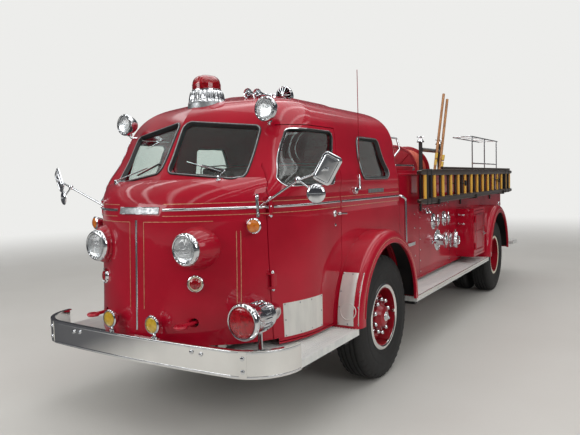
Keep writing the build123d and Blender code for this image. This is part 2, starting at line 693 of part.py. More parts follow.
def rear_body():
    """Pump house and open hose bed in one hollow body with wheel arches."""
    half, wall = BODY_HALF_WIDTH, BULKHEAD
    points = ((BODY_FRONT, CAB_FLOOR_Z), (BODY_REAR, CAB_FLOOR_Z + 60), (BODY_REAR, BODY_TOP_Z), (BODY_FRONT, BODY_TOP_Z))
    body = side_prism(points, (-half, half))
    body = fillet(body.edges().filter_by(Axis.Z), 40)
    under = block((-half + wall, half - wall), (behind_axle(BODY_FRONT + wall), behind_axle(BODY_REAR - wall)),
                  (500, RAIL_TOP_Z))
    front_notch = block((-480, 480), (behind_axle(BODY_FRONT - 10), behind_axle(BODY_FRONT + 60)), (500, RAIL_TOP_Z))
    house = block((-half + wall, half - wall), (behind_axle(BODY_FRONT + wall), behind_axle(WELL_FRONT - wall)),
                  (RAIL_TOP_Z + wall, BODY_TOP_Z - wall))
    well = block((-half + wall, half - wall), (behind_axle(WELL_FRONT), behind_axle(WELL_REAR)),
                 (BED_FLOOR_Z, BODY_TOP_Z + 10))
    bed = block((-half + wall, half - wall), (behind_axle(WELL_REAR + wall), behind_axle(BODY_REAR - wall)),
                (BED_FLOOR_Z, BODY_TOP_Z + 10))
    body = body - under - front_notch - house - well - bed
    arch = arch_prism(BODY_ARCH_RADIUS, CAB_FLOOR_Z - 10, ARCH_CENTRE_Z, REAR_AXLE_Y, (TYRE_WELL_X, half + 10))
    body = body - arch - mirror(arch, about=Plane.YZ)
    return body


BOX_X = (BODY_HALF_WIDTH, 1085)
BOX_Y = (2890, 3470)
BOX_Z = (665, 1285)
BOX_SKIN = 18
BOX_DOOR_MARGIN = 30
BOX_HINGE_X = BOX_X[1] + 10
BOX_HINGE_Y = behind_axle(BOX_Y[0] + BOX_DOOR_MARGIN + DOOR_GAP)
BOX_HINGE_HEIGHTS = (800, 1150)
BOX_HINGE_PIN = 4
BOX_HINGE_BARREL = 9


def side_box():
    """Left side box, open on its outer face behind the door."""
    y = [behind_axle(value) for value in BOX_Y]
    shell = block(BOX_X, y, BOX_Z)
    inside = block((BOX_X[0] + BOX_SKIN, BOX_X[1] - BOX_SKIN), (y[0] + BOX_SKIN, y[1] - BOX_SKIN),
                   (BOX_Z[0] + BOX_SKIN, BOX_Z[1] - BOX_SKIN))
    mouth = block((BOX_X[0] + 60, BOX_X[1] + 5), (y[0] + BOX_DOOR_MARGIN, y[1] - BOX_DOOR_MARGIN),
                  (BOX_Z[0] + BOX_DOOR_MARGIN, BOX_Z[1] - BOX_DOOR_MARGIN))
    box = shell - inside - mouth
    for z in BOX_HINGE_HEIGHTS:
        box += rod_z(BOX_HINGE_PIN, BOX_HINGE_X, BOX_HINGE_Y, (z - 46, z + 46))
        for low in (z - 46, z + 36):
            box += rod_z(BOX_HINGE_BARREL, BOX_HINGE_X, BOX_HINGE_Y, (low, low + 10))
            box += block((BOX_X[1] - 5, BOX_HINGE_X + 4), (BOX_HINGE_Y - 26, BOX_HINGE_Y), (low, low + 10))
    return box


def box_door():
    """Left box door, hinged along its front edge, with a bar handle."""
    clear = BOX_DOOR_MARGIN + DOOR_GAP
    y = (behind_axle(BOX_Y[0] + clear), behind_axle(BOX_Y[1] - clear))
    z = (BOX_Z[0] + clear, BOX_Z[1] - clear)
    panel = block((BOX_X[1] - BOX_SKIN, BOX_X[1]), y, z)
    middle_z = sum(z) / 2
    handle = tube([(BOX_X[1] - 4, y[1] - 60, middle_z - 55), (BOX_X[1] + 26, y[1] - 60, middle_z - 55),
                   (BOX_X[1] + 26, y[1] - 60, middle_z + 55), (BOX_X[1] - 4, y[1] - 60, middle_z + 55)], 6, 10)
    door = panel + handle
    for z in BOX_HINGE_HEIGHTS:
        door += rod_z(BOX_HINGE_BARREL, BOX_HINGE_X, BOX_HINGE_Y, (z - 35, z + 35))
        door += block((BOX_X[1] - 5, BOX_X[1] + 4), (BOX_HINGE_Y + 4, BOX_HINGE_Y + 34), (z - 35, z + 35))
        door -= rod_z(BOX_HINGE_PIN + FIT, BOX_HINGE_X, BOX_HINGE_Y, (z - 40, z + 40))
    return door


# Pump outlets on the left panel, as (distance behind the axle, z, ring radius, cap radius, reach)
PANEL_PORTS = (
    (1935, 1194, 92, 45, 70),
    (2353, 1200, 92, 45, 70),
    (2079, 965, 125, 58, 120),
    (2655, 906, 0, 92, 95),
)


def pump_fittings():
    """Ringed outlets with caps and lugs, and the big suction cap, on both panels."""
    face = BODY_HALF_WIDTH
    pieces = []
    for distance, z, ring, cap, reach in PANEL_PORTS:
        centre = (face, behind_axle(distance), z)
        port = turned(((0, 0), (cap + 8, 0), (cap + 8, reach - 30), (cap, reach - 26), (cap, reach - 6),
                       (cap - 10, reach), (0, reach)), centre, (1, 0, 0))
        if ring:
            port += turned(((0, 0), (ring, 0), (ring, 10), (ring - 10, 14), (0, 14)), centre, (1, 0, 0))
        for sign in (-1, 1):
            lug = Pos(face + reach - 16, behind_axle(distance) + sign * 8, z + sign * (cap + 14))
            port += lug * Rot(X=-sign * 12) * Box(16, 18, 50)
        pieces.append(port)
    return both_sides(*pieces)


LADDER_Z = (1430, 1785)
LADDER_RUNGS = 15
# Ladders stored on edge, as (rail middle x, front end, rear end) behind the axle
LADDERS = ((1052, 950, 5480), (985, 1090, 5560))
LADDER_RAIL = (34, 62)
RACK_Y = (1480, 3060, 4750)


def ladders():
    """Two ladders on edge: tapered-end rails above and below, round rungs between."""
    pieces = []
    for x, front, rear in LADDERS:
        width, depth = LADDER_RAIL
        low, high = LADDER_Z
        y = (behind_axle(front), behind_axle(rear))
        ladder = block((x - width / 2, x + width / 2), y, (low, low + depth))
        ladder += block((x - width / 2, x + width / 2), y, (high - depth, high))
        span = rear - front
        for index in range(LADDER_RUNGS):
            at = behind_axle(front + span * (index + 0.5) / LADDER_RUNGS)
            ladder += rod_z(15, x, at, (low + depth - 2, high - depth + 2))
        pieces.append(ladder)
    return group(*pieces)


HOSE_X, HOSE_RADIUS = 960, 70
HOSE_Z = (1500, 1690)
HOSE_Y = (1250, 4700)


def suction_hoses():
    """Two hard suction hoses with couplings, stored on the right side."""
    length = HOSE_Y[1] - HOSE_Y[0]
    coupling, collar = 130, 14
    points = ((0, 0), (HOSE_RADIUS + collar, 0), (HOSE_RADIUS + collar, coupling), (HOSE_RADIUS, coupling + 12),
              (HOSE_RADIUS, length - coupling - 12), (HOSE_RADIUS + collar, length - coupling),
              (HOSE_RADIUS + collar, length), (0, length))
    return group(*[turned(points, (-HOSE_X, behind_axle(HOSE_Y[0]), z), (0, 1, 0)) for z in HOSE_Z])


def rack_brackets():
    """Brackets that carry the ladders on the left side and the hoses on the right."""
    left, right = [], []
    for distance in RACK_Y:
        y = (behind_axle(distance), behind_axle(distance) + 40)
        outer = LADDERS[0][0] + LADDER_RAIL[0] / 2 + 14
        arm = block((BODY_HALF_WIDTH, outer), y, (LADDER_Z[0] - 16, LADDER_Z[0]))
        arm += block((outer - 12, outer), y, (LADDER_Z[0] - 16, LADDER_Z[0] + 40))
        arm += block((BODY_HALF_WIDTH, BODY_HALF_WIDTH + 12), y, (LADDER_Z[0] - 90, LADDER_Z[1] - 40))
        left.append(arm)
        foot = block((-HOSE_X - HOSE_RADIUS - 10, -BODY_HALF_WIDTH), y, (HOSE_Z[0] - HOSE_RADIUS - 16,
                                                                       HOSE_Z[0] - HOSE_RADIUS))
        foot += block((-HOSE_X - HOSE_RADIUS - 10, -HOSE_X - HOSE_RADIUS), y,
                      (HOSE_Z[0] - HOSE_RADIUS - 16, HOSE_Z[1] + 30))
        foot += block((-BODY_HALF_WIDTH - 12, -BODY_HALF_WIDTH), y, (HOSE_Z[0] - HOSE_RADIUS - 16, HOSE_Z[1] + 30))
        foot += block((-HOSE_X - HOSE_RADIUS - 10, -BODY_HALF_WIDTH), y,
                      (HOSE_Z[0] + HOSE_RADIUS, HOSE_Z[1] - HOSE_RADIUS))
        right.append(foot)
    return group(*left, *right)


HEAD_LAMP = (424, 1775, 1280)
MARKER_LAMP = (434, 1712, 1049)
FOG_LAMP = (204, 1868, 791)


def front_lamps(cab):
    """Head lamps in buckets, marker lamps and fog lamps on posts."""
    forward = (0, -1, 0)

    def lamp(place, points):
        x, distance, z = place
        return turned(points, (x, behind_axle(-distance), z), forward)

    head = lamp(HEAD_LAMP, ((0, -240), (150, -240), (142, -120), (112, -44), (96, -34), (104, -28), (104, -8),
                           (88, 0), (60, 12), (0, 20)))
    marker = lamp(MARKER_LAMP, ((0, -90), (44, -90), (44, -12), (34, -6), (24, 2), (0, 6)))
    fog = lamp(FOG_LAMP, ((0, -78), (26, -74), (50, -48), (60, -22), (60, -8), (50, -4), (0, 0)))
    post = rod_z(11, FOG_LAMP[0], behind_axle(-FOG_LAMP[1] + 30), (BUMPER_Z[1], FOG_LAMP[2] - 30))
    return both_sides(head - cab, marker - cab, fog + post)


SIREN_LAMP = (862, 1761, 854)


def siren_lamp():
    """Bullet-shaped siren with a big lens, finned cowl and pedestal on the front step."""
    x, distance, z = SIREN_LAMP
    points = ((0, -400), (34, -392), (60, -350), (72, -290), (88, -250), (88, -235), (98, -225), (98, -205),
              (92, -195), (92, -120), (104, -60), (116, -30), (116, -8), (100, 0), (50, 14), (0, 18))
    body = turned(points, (x, behind_axle(-distance), z), (0, -1, 0))
    foot = rod_z(16, x, behind_axle(-distance + 190), (STEP_TOP_Z, z - 80))
    foot += turned(((0, 0), (52, 0), (52, 8), (20, 22), (0, 22)), (x, behind_axle(-distance + 190), STEP_TOP_Z),
                   (0, 0, 1))
    return body + foot


BEACON = (0, 975, 2300)


def roof_signals(cab):
    """Ribbed beacon on a fluted skirt, two trumpet horns and a round roof siren."""
    x, distance, z = BEACON
    beacon = turned(((0, -40), (150, -40), (150, 26), (144, 30), (126, 118), (112, 124), (110, 190), (96, 224),
                     (60, 244), (0, 250)), (x, behind_axle(-distance), z), (0, 0, 1))
    horns = None
    for horn_x, horn_distance, horn_z in ((236, 755, 2412), (352, 790, 2392)):
        horn = turned(((0, -250), (14, -250), (14, -120), (20, -60), (40, 0), (32, 0), (14, -50), (0, -60)),
                      (horn_x, behind_axle(-horn_distance), horn_z), (0, -1, 0))
        horn += rod_z(10, horn_x, behind_axle(-horn_distance + 190), (horn_z - 120, horn_z))
        horns = horn if horns is None else horns + horn
    siren = turned(((0, -90), (40, -90), (62, -60), (78, -20), (78, -4), (66, 0), (0, 8)),
                   (450, behind_axle(-560), 2392), (0, -1, 0))
    siren += rod_z(22, 450, behind_axle(-520), (2240, 2392))
    return group(beacon - cab, horns - cab, siren - cab)


SPOT_LAMP = (700, 1205, 2205)


def spotlights(cab):
    """Round pillar lamps, each on a bent arm from the screen pillar."""
    x, distance, z = SPOT_LAMP
    y = behind_axle(-distance)
    shell = turned(((0, -130), (30, -124), (62, -90), (80, -40), (88, -24), (88, -4), (78, 0), (40, 10), (0, 14)),
                   (x, y, z), (0, -1, 0))
    arm = tube([(x, y + 60, z - 50), (x - 8, y + 60, z - 105), (x - 45, y + 150, z - 108)], 9, 15)
    return both_sides(shell + arm - cab)


MIRROR_KNEE = (1100, 1443, 1706)
MIRROR_CENTRE = (1290, 1410, 1770)
ROUND_MIRROR = (1220, 1437, 1620)


def mirrors(cab):
    """Rectangular mirror and small round one on a bent arm at each cab corner."""

    def place(point):
        return (point[0], behind_axle(-point[1]), point[2])

    knee = place(MIRROR_KNEE)
    arm = bar((770, behind_axle(-1380), 1545), knee, 9)
    arm += turned(((0, -16), (12, -16), (17, -8), (17, 8), (12, 16), (0, 16)), knee, (0, 0, 1))
    arm += bar(knee, place(MIRROR_CENTRE), 8) + bar(knee, place(ROUND_MIRROR), 6)
    width, height, thickness = 124, 192, 24
    face = Rot(Z=20) * Rot(X=6) * Rot(Y=30) * Rot(X=90)
    plate = Pos(*place(MIRROR_CENTRE)) * face * extrude(RectangleRounded(width, height, 22), thickness / 2, both=True)
    disc = Pos(*place(ROUND_MIRROR)) * Rot(Z=20) * Rot(X=90) * Cylinder(60, 20)
    return both_sides(arm + plate + disc - cab)


def grab_rails(cab):
    """Cab corner rails with step brackets, body top rails and the rear overhead rack."""
    rail_x = 962
    y = behind_axle(CAB_REAR + 22)
    corner = tube([(900, behind_axle(690), 1530), (rail_x, behind_axle(690), 1530), (rail_x, y, 1500),
                   (rail_x, y, 1060)], 13, 25) - cab
    bracket = block((BODY_HALF_WIDTH, rail_x + 24), (y - 18, behind_axle(BODY_FRONT + 150)), (1030, 1062))
    bracket -= block((0, BODY_HALF_WIDTH), (y - 100, y + 400), (1000, 1100))
    small = tube([(800, behind_axle(640), 2100), (880, behind_axle(790), 2090), (905, behind_axle(800), 1980),
                  (860, behind_axle(700), 1880)], 9, 20) - cab
    top = tube([(820, behind_axle(870), BODY_TOP_Z), (820, behind_axle(870), BODY_TOP_Z + 50),
                (820, behind_axle(1420), BODY_TOP_Z + 50), (820, behind_axle(1420), BODY_TOP_Z)], 12, 30)
    return group(both_sides(corner + bracket), both_sides(small), both_sides(top), overhead_rack())


RACK_RAIL_X = (556, 818)
RACK_RAIL_Y = (3840, 5560)
RACK_RAIL_Z = 2275
RACK_POSTS = (3910, 4650, 5490)
RACK_BARS = (4280, 4820, 5360)


def overhead_rack():
    """Thin bright tubes over the left side of the hose bed, on three posts."""
    inner, outer = RACK_RAIL_X
    front, rear = [behind_axle(value) for value in RACK_RAIL_Y]
    rack = tube([(outer, rear, RACK_RAIL_Z), (outer, front, RACK_RAIL_Z), (inner, front, RACK_RAIL_Z),
                 (inner, rear - 140, RACK_RAIL_Z)], 9, 40)
    for distance in RACK_POSTS:
        y = behind_axle(distance)
        rack += rod_z(8, outer, y, (BODY_TOP_Z, RACK_RAIL_Z))
        rack += turned(((0, 0), (30, 0), (30, 8), (14, 26), (0, 26)), (outer, y, BODY_TOP_Z), (0, 0, 1))
    for distance in RACK_BARS:
        rack += rod_x(6, (inner, outer), behind_axle(distance), RACK_RAIL_Z)
    low_rail = (behind_axle(RACK_POSTS[0] - 12), behind_axle(RACK_POSTS[-1] + 12))
    rack += rod_y(9, outer, low_rail, BODY_TOP_Z + 110)
    return rack


def reel_stand():
    """Bearing blocks for the hose reel and posts with cone caps for the side rollers."""
    stand = []
    for edge, sign in ((WELL_FRONT, 1), (WELL_REAR, -1)):
        y = sorted((behind_axle(edge), behind_axle(edge + sign * 36)))
        bearing = block((-70, 70), y, (REEL_AXIS_Z - 150, REEL_AXIS_Z + 55))
        stand.append(bearing - rod_y(22 + FIT, 0, (y[0] - 5, y[1] + 5), REEL_AXIS_Z))
    for distance in ROLLER_POSTS:
        post = turned(((0, 0), (44, 0), (44, 10), (26, 24), (24, 380), (48, 384), (46, 396), (16, 440), (12, 458),
                       (0, 462)), (ROLLER_X, behind_axle(distance), BODY_TOP_Z), (0, 0, 1))
        post += Pos(ROLLER_X, behind_axle(distance), BODY_TOP_Z + 452) * star_wheel()
        inside = sorted((behind_axle(distance), behind_axle(sum(ROLLER_POSTS) / 2)))
        post -= rod_y(9 + FIT, ROLLER_X, inside, ROLLER_Z)
        stand.append(post)
        stand.append(mirror(post, about=Plane.YZ))
    return group(*stand)


ROLLER_POSTS = (2740, 3522)
ROLLER_CLEAR = 30


def star_wheel():
    """Hand wheel with five blunt points."""
    star = Cylinder(22, 14)
    for index in range(5):
        star += Rot(Z=index * 72) * Pos(28, 0, 0) * Box(34, 13, 12)
    return star


def side_roller():
    """Plain roller with stub pins that turn in the posts."""
    low, high = behind_axle(ROLLER_POSTS[0] + ROLLER_CLEAR), behind_axle(ROLLER_POSTS[1] - ROLLER_CLEAR)
    return rod_y(27, ROLLER_X, (low, high), ROLLER_Z) + rod_y(9, ROLLER_X, (low - 20, high + 20), ROLLER_Z)


REEL_DISCS = (2880, 3370)
DISC_THICKNESS = 16


def hose_reel():
    """Reel on a shaft along the vehicle, its two pressed discs stiffened by radial ribs."""
    y = [behind_axle(value) for value in REEL_DISCS]
    shaft = rod_y(22, 0, (behind_axle(WELL_FRONT + 6), behind_axle(WELL_REAR - 6)), REEL_AXIS_Z)
    reel = shaft + rod_y(110, 0, (y[0], y[1]), REEL_AXIS_Z)
    for plane_y, out in ((y[0], -1), (y[1], 1)):
        disc = turned(((0, 0), (60, 0), (60, 30), (80, 22), (150, 8), (REEL_RADIUS - 30, 8), (REEL_RADIUS - 22, 22),
                       (REEL_RADIUS - 6, 22), (REEL_RADIUS, 12), (REEL_RADIUS - 6, -4), (0, -4)),
                      (0, plane_y, REEL_AXIS_Z), (0, out, 0))
        for index in range(8):
            turn = math.radians(index * 45)
            at = Pos(215 * math.sin(turn), plane_y + out * 10, REEL_AXIS_Z + 215 * math.cos(turn))
            disc += at * Rot(Y=math.degrees(turn)) * Box(22, 20, 210)
        reel += disc
    return reel


HOSE_WOUND_RADIUS = 318


def wound_hose():
    """Hose wound on the reel drum, taken as one ring."""
    low, high = behind_axle(REEL_DISCS[0]) + 6, behind_axle(REEL_DISCS[1]) - 6
    wound = rod_y(HOSE_WOUND_RADIUS, 0, (low, high), REEL_AXIS_Z)
    return wound - rod_y(110, 0, (low - 5, high + 5), REEL_AXIS_Z)


PIKE_FOOT = (545, 2800, BED_FLOOR_Z)
PIKE_TIP = (545, 3470, 2860)


def pike_poles():
    """Two long wooden poles that lean in the well, with banded feet."""
    poles = []
    for shift in (0, 70):
        foot = Vector(PIKE_FOOT[0] + shift, behind_axle(PIKE_FOOT[1]), PIKE_FOOT[2])
        tip = Vector(PIKE_TIP[0] + shift * 0.4, behind_axle(PIKE_TIP[1]) + shift, PIKE_TIP[2] - shift)
        poles.append(bar(foot, tip, 18) - block((0, 900), (-2000, 2000), (BED_FLOOR_Z - 60, BED_FLOOR_Z)))
    return group(*poles)


def tail_lamps():
    """Two tail lamps on the rear face and a lamp on each rear corner of the body side."""
    rear = behind_axle(BODY_REAR)
    tail = turned(((0, 0), (52, 0), (52, 18), (44, 30), (20, 40), (0, 42)), (700, rear, 1250), (0, 1, 0))
    side = turned(((0, 0), (42, 0), (42, 14), (30, 28), (0, 32)), (BODY_HALF_WIDTH, behind_axle(5440), 1225), (1, 0, 0))
    return both_sides(tail, side)


def aerial():
    """Spring-based whip aerial and round filler knob behind the left door."""
    x, y = 948, behind_axle(-225)
    base = turned(((0, 0), (16, 0), (14, 30), (9, 60), (9, 120), (0, 120)), (x, y, 1618), (0, 0, 1))
    whip = bar((x, y, 1730), (x - 6, y + 14, 2590), 3.5)
    foot = rod_x(14, (915, x), y, 1630)
    knob = rod_x(30, (925, 966), y - 75, 1612)
    return base + whip + foot, knob


def build():
    """Every node of the vehicle by name."""
    cab, door, fixed_glass, door_glass, outer = cab_parts()
    cavity = cab_solid(WALL)
    front_fender = fender(FRONT_AXLE_Y, BODY_HALF_WIDTH - 60) - outer
    rear_fender = fender(REAR_AXLE_Y, BODY_HALF_WIDTH)
    whip, knob = aerial()
    parts = {
        "frame_rails": frame_rails(),
        "engine_block": engine_block(),
        "front_axle": front_axle(),
        "rear_axle": rear_axle(),
        "cab_shell": cab,
        "cab_windows": fixed_glass,
        "cab_interior": cab_interior(cavity),
        "cab_seat": cab_seat(),
        "front_bumper": front_bumper(),
        "fenders": both_sides(front_fender, rear_fender),
        "running_boards": running_boards(),
        "tailboard": tailboard(),
        "rear_body": rear_body(),
        "side_boxes": both_sides(side_box()),
        "pump_fittings": pump_fittings(),
        "ladders": ladders(),
        "suction_hoses": suction_hoses(),
        "rack_brackets": rack_brackets(),
        "front_lamps": front_lamps(outer),
        "siren_lamp": siren_lamp(),
        "roof_signals": roof_signals(outer),
        "spotlights": spotlights(outer),
        "mirrors": mirrors(outer),
        "grab_rails": grab_rails(outer),
        "reel_stand": reel_stand(),
        "pike_poles": pike_poles(),
        "tail_lamps": tail_lamps(),
        "aerial": group(whip - outer, knob - outer),
        "hose_reel": hose_reel(),
        "wound_hose": wound_hose(),
    }
    for name, side in SIDES:
        parts["door_" + name] = mirrored(door, side)
        parts["door_glass_" + name] = mirrored(door_glass, side)
        parts["knuckle_" + name] = mirrored(knuckle(), side)
        parts["front_tyre_" + name] = mirrored(tyre(TYRE_PLANE_X, FRONT_AXLE_Y), side)
        parts["front_wheel_" + name] = mirrored(front_wheel(), side)
        parts["rear_tyres_" + name] = mirrored(rear_tyres(), side)
        parts["rear_wheels_" + name] = mirrored(rear_wheels(), side)
        parts["box_door_" + name] = mirrored(box_door(), side)
        parts["side_roller_" + name] = mirrored(side_roller(), side)
    return parts


os.makedirs("parts", exist_ok=True)
for node, shape in build().items():
    export_step(shape, f"parts/{node}.step")
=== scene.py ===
# Fire engine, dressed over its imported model. Metres; the front faces -Y, +X is the vehicle's left, +Z is up.
import bmesh
import bpy
import math
from mathutils import Matrix, Vector
from mathutils.bvhtree import BVHTree


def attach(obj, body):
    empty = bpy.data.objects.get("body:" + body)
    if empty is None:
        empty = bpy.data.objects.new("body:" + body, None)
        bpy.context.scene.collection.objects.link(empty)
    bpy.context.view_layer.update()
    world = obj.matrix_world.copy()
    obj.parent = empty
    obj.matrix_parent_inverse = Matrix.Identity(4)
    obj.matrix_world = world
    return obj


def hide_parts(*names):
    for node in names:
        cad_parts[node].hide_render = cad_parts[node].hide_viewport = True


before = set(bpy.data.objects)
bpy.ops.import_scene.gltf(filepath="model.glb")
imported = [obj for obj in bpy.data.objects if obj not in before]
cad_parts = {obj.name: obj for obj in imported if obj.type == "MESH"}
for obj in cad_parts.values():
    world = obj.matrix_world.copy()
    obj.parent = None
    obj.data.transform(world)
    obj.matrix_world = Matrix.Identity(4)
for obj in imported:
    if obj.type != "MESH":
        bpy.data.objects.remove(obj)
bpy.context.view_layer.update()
print("frame loaded:", len(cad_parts), "nodes")

sides = (("left", 1), ("right", -1))
frontAxleY, rearAxleY, axleZ = -2.080, 2.138, 0.527
forward, backward, upward, leftward = (Vector(way) for way in ((0, -1, 0), (0, 1, 0), (0, 0, 1), (1, 0, 0)))


# Colours and finishes
def linearColor(code, alpha=1.0):
    channels = [int(code[index:index + 2], 16) / 255 for index in (1, 3, 5)]
    return [value / 12.92 if value <= 0.04045 else ((value + 0.055) / 1.055) ** 2.4
            for value in channels] + [alpha]


def addNode(tree, kind, inputs=None, **settings):
    node = tree.nodes.new(kind)
    for name, value in settings.items():
        setattr(node, name, value)
    for name, value in (inputs or {}).items():
        if isinstance(value, bpy.types.NodeSocket):
            tree.links.new(value, node.inputs[name])
        else:
            node.inputs[name].default_value = value
    return node


def blendColours(tree, share, first, second, mode="MIX"):
    return addNode(tree, "ShaderNodeMix", {0: share, 6: first, 7: second}, data_type="RGBA",
                   blend_type=mode).outputs[2]


def maths(tree, operation, first, second, **settings):
    return addNode(tree, "ShaderNodeMath", {0: first, 1: second}, operation=operation, **settings).outputs[0]


def ranged(tree, value, low, high, least=0.0, most=1.0, **settings):
    inputs = {"Value": value, "From Min": low, "From Max": high, "To Min": least, "To Max": most}
    return addNode(tree, "ShaderNodeMapRange", inputs, **settings).outputs["Result"]


def noise(tree, place, scale, detail):
    return addNode(tree, "ShaderNodeTexNoise",
                   {"Vector": place, "Scale": scale, "Detail": detail}).outputs["Fac"]


def alongAxis(tree, vector, axis):
    return addNode(tree, "ShaderNodeSeparateXYZ", {0: vector}).outputs[axis]


def objectCoords(tree):
    return addNode(tree, "ShaderNodeTexCoord").outputs["Object"]


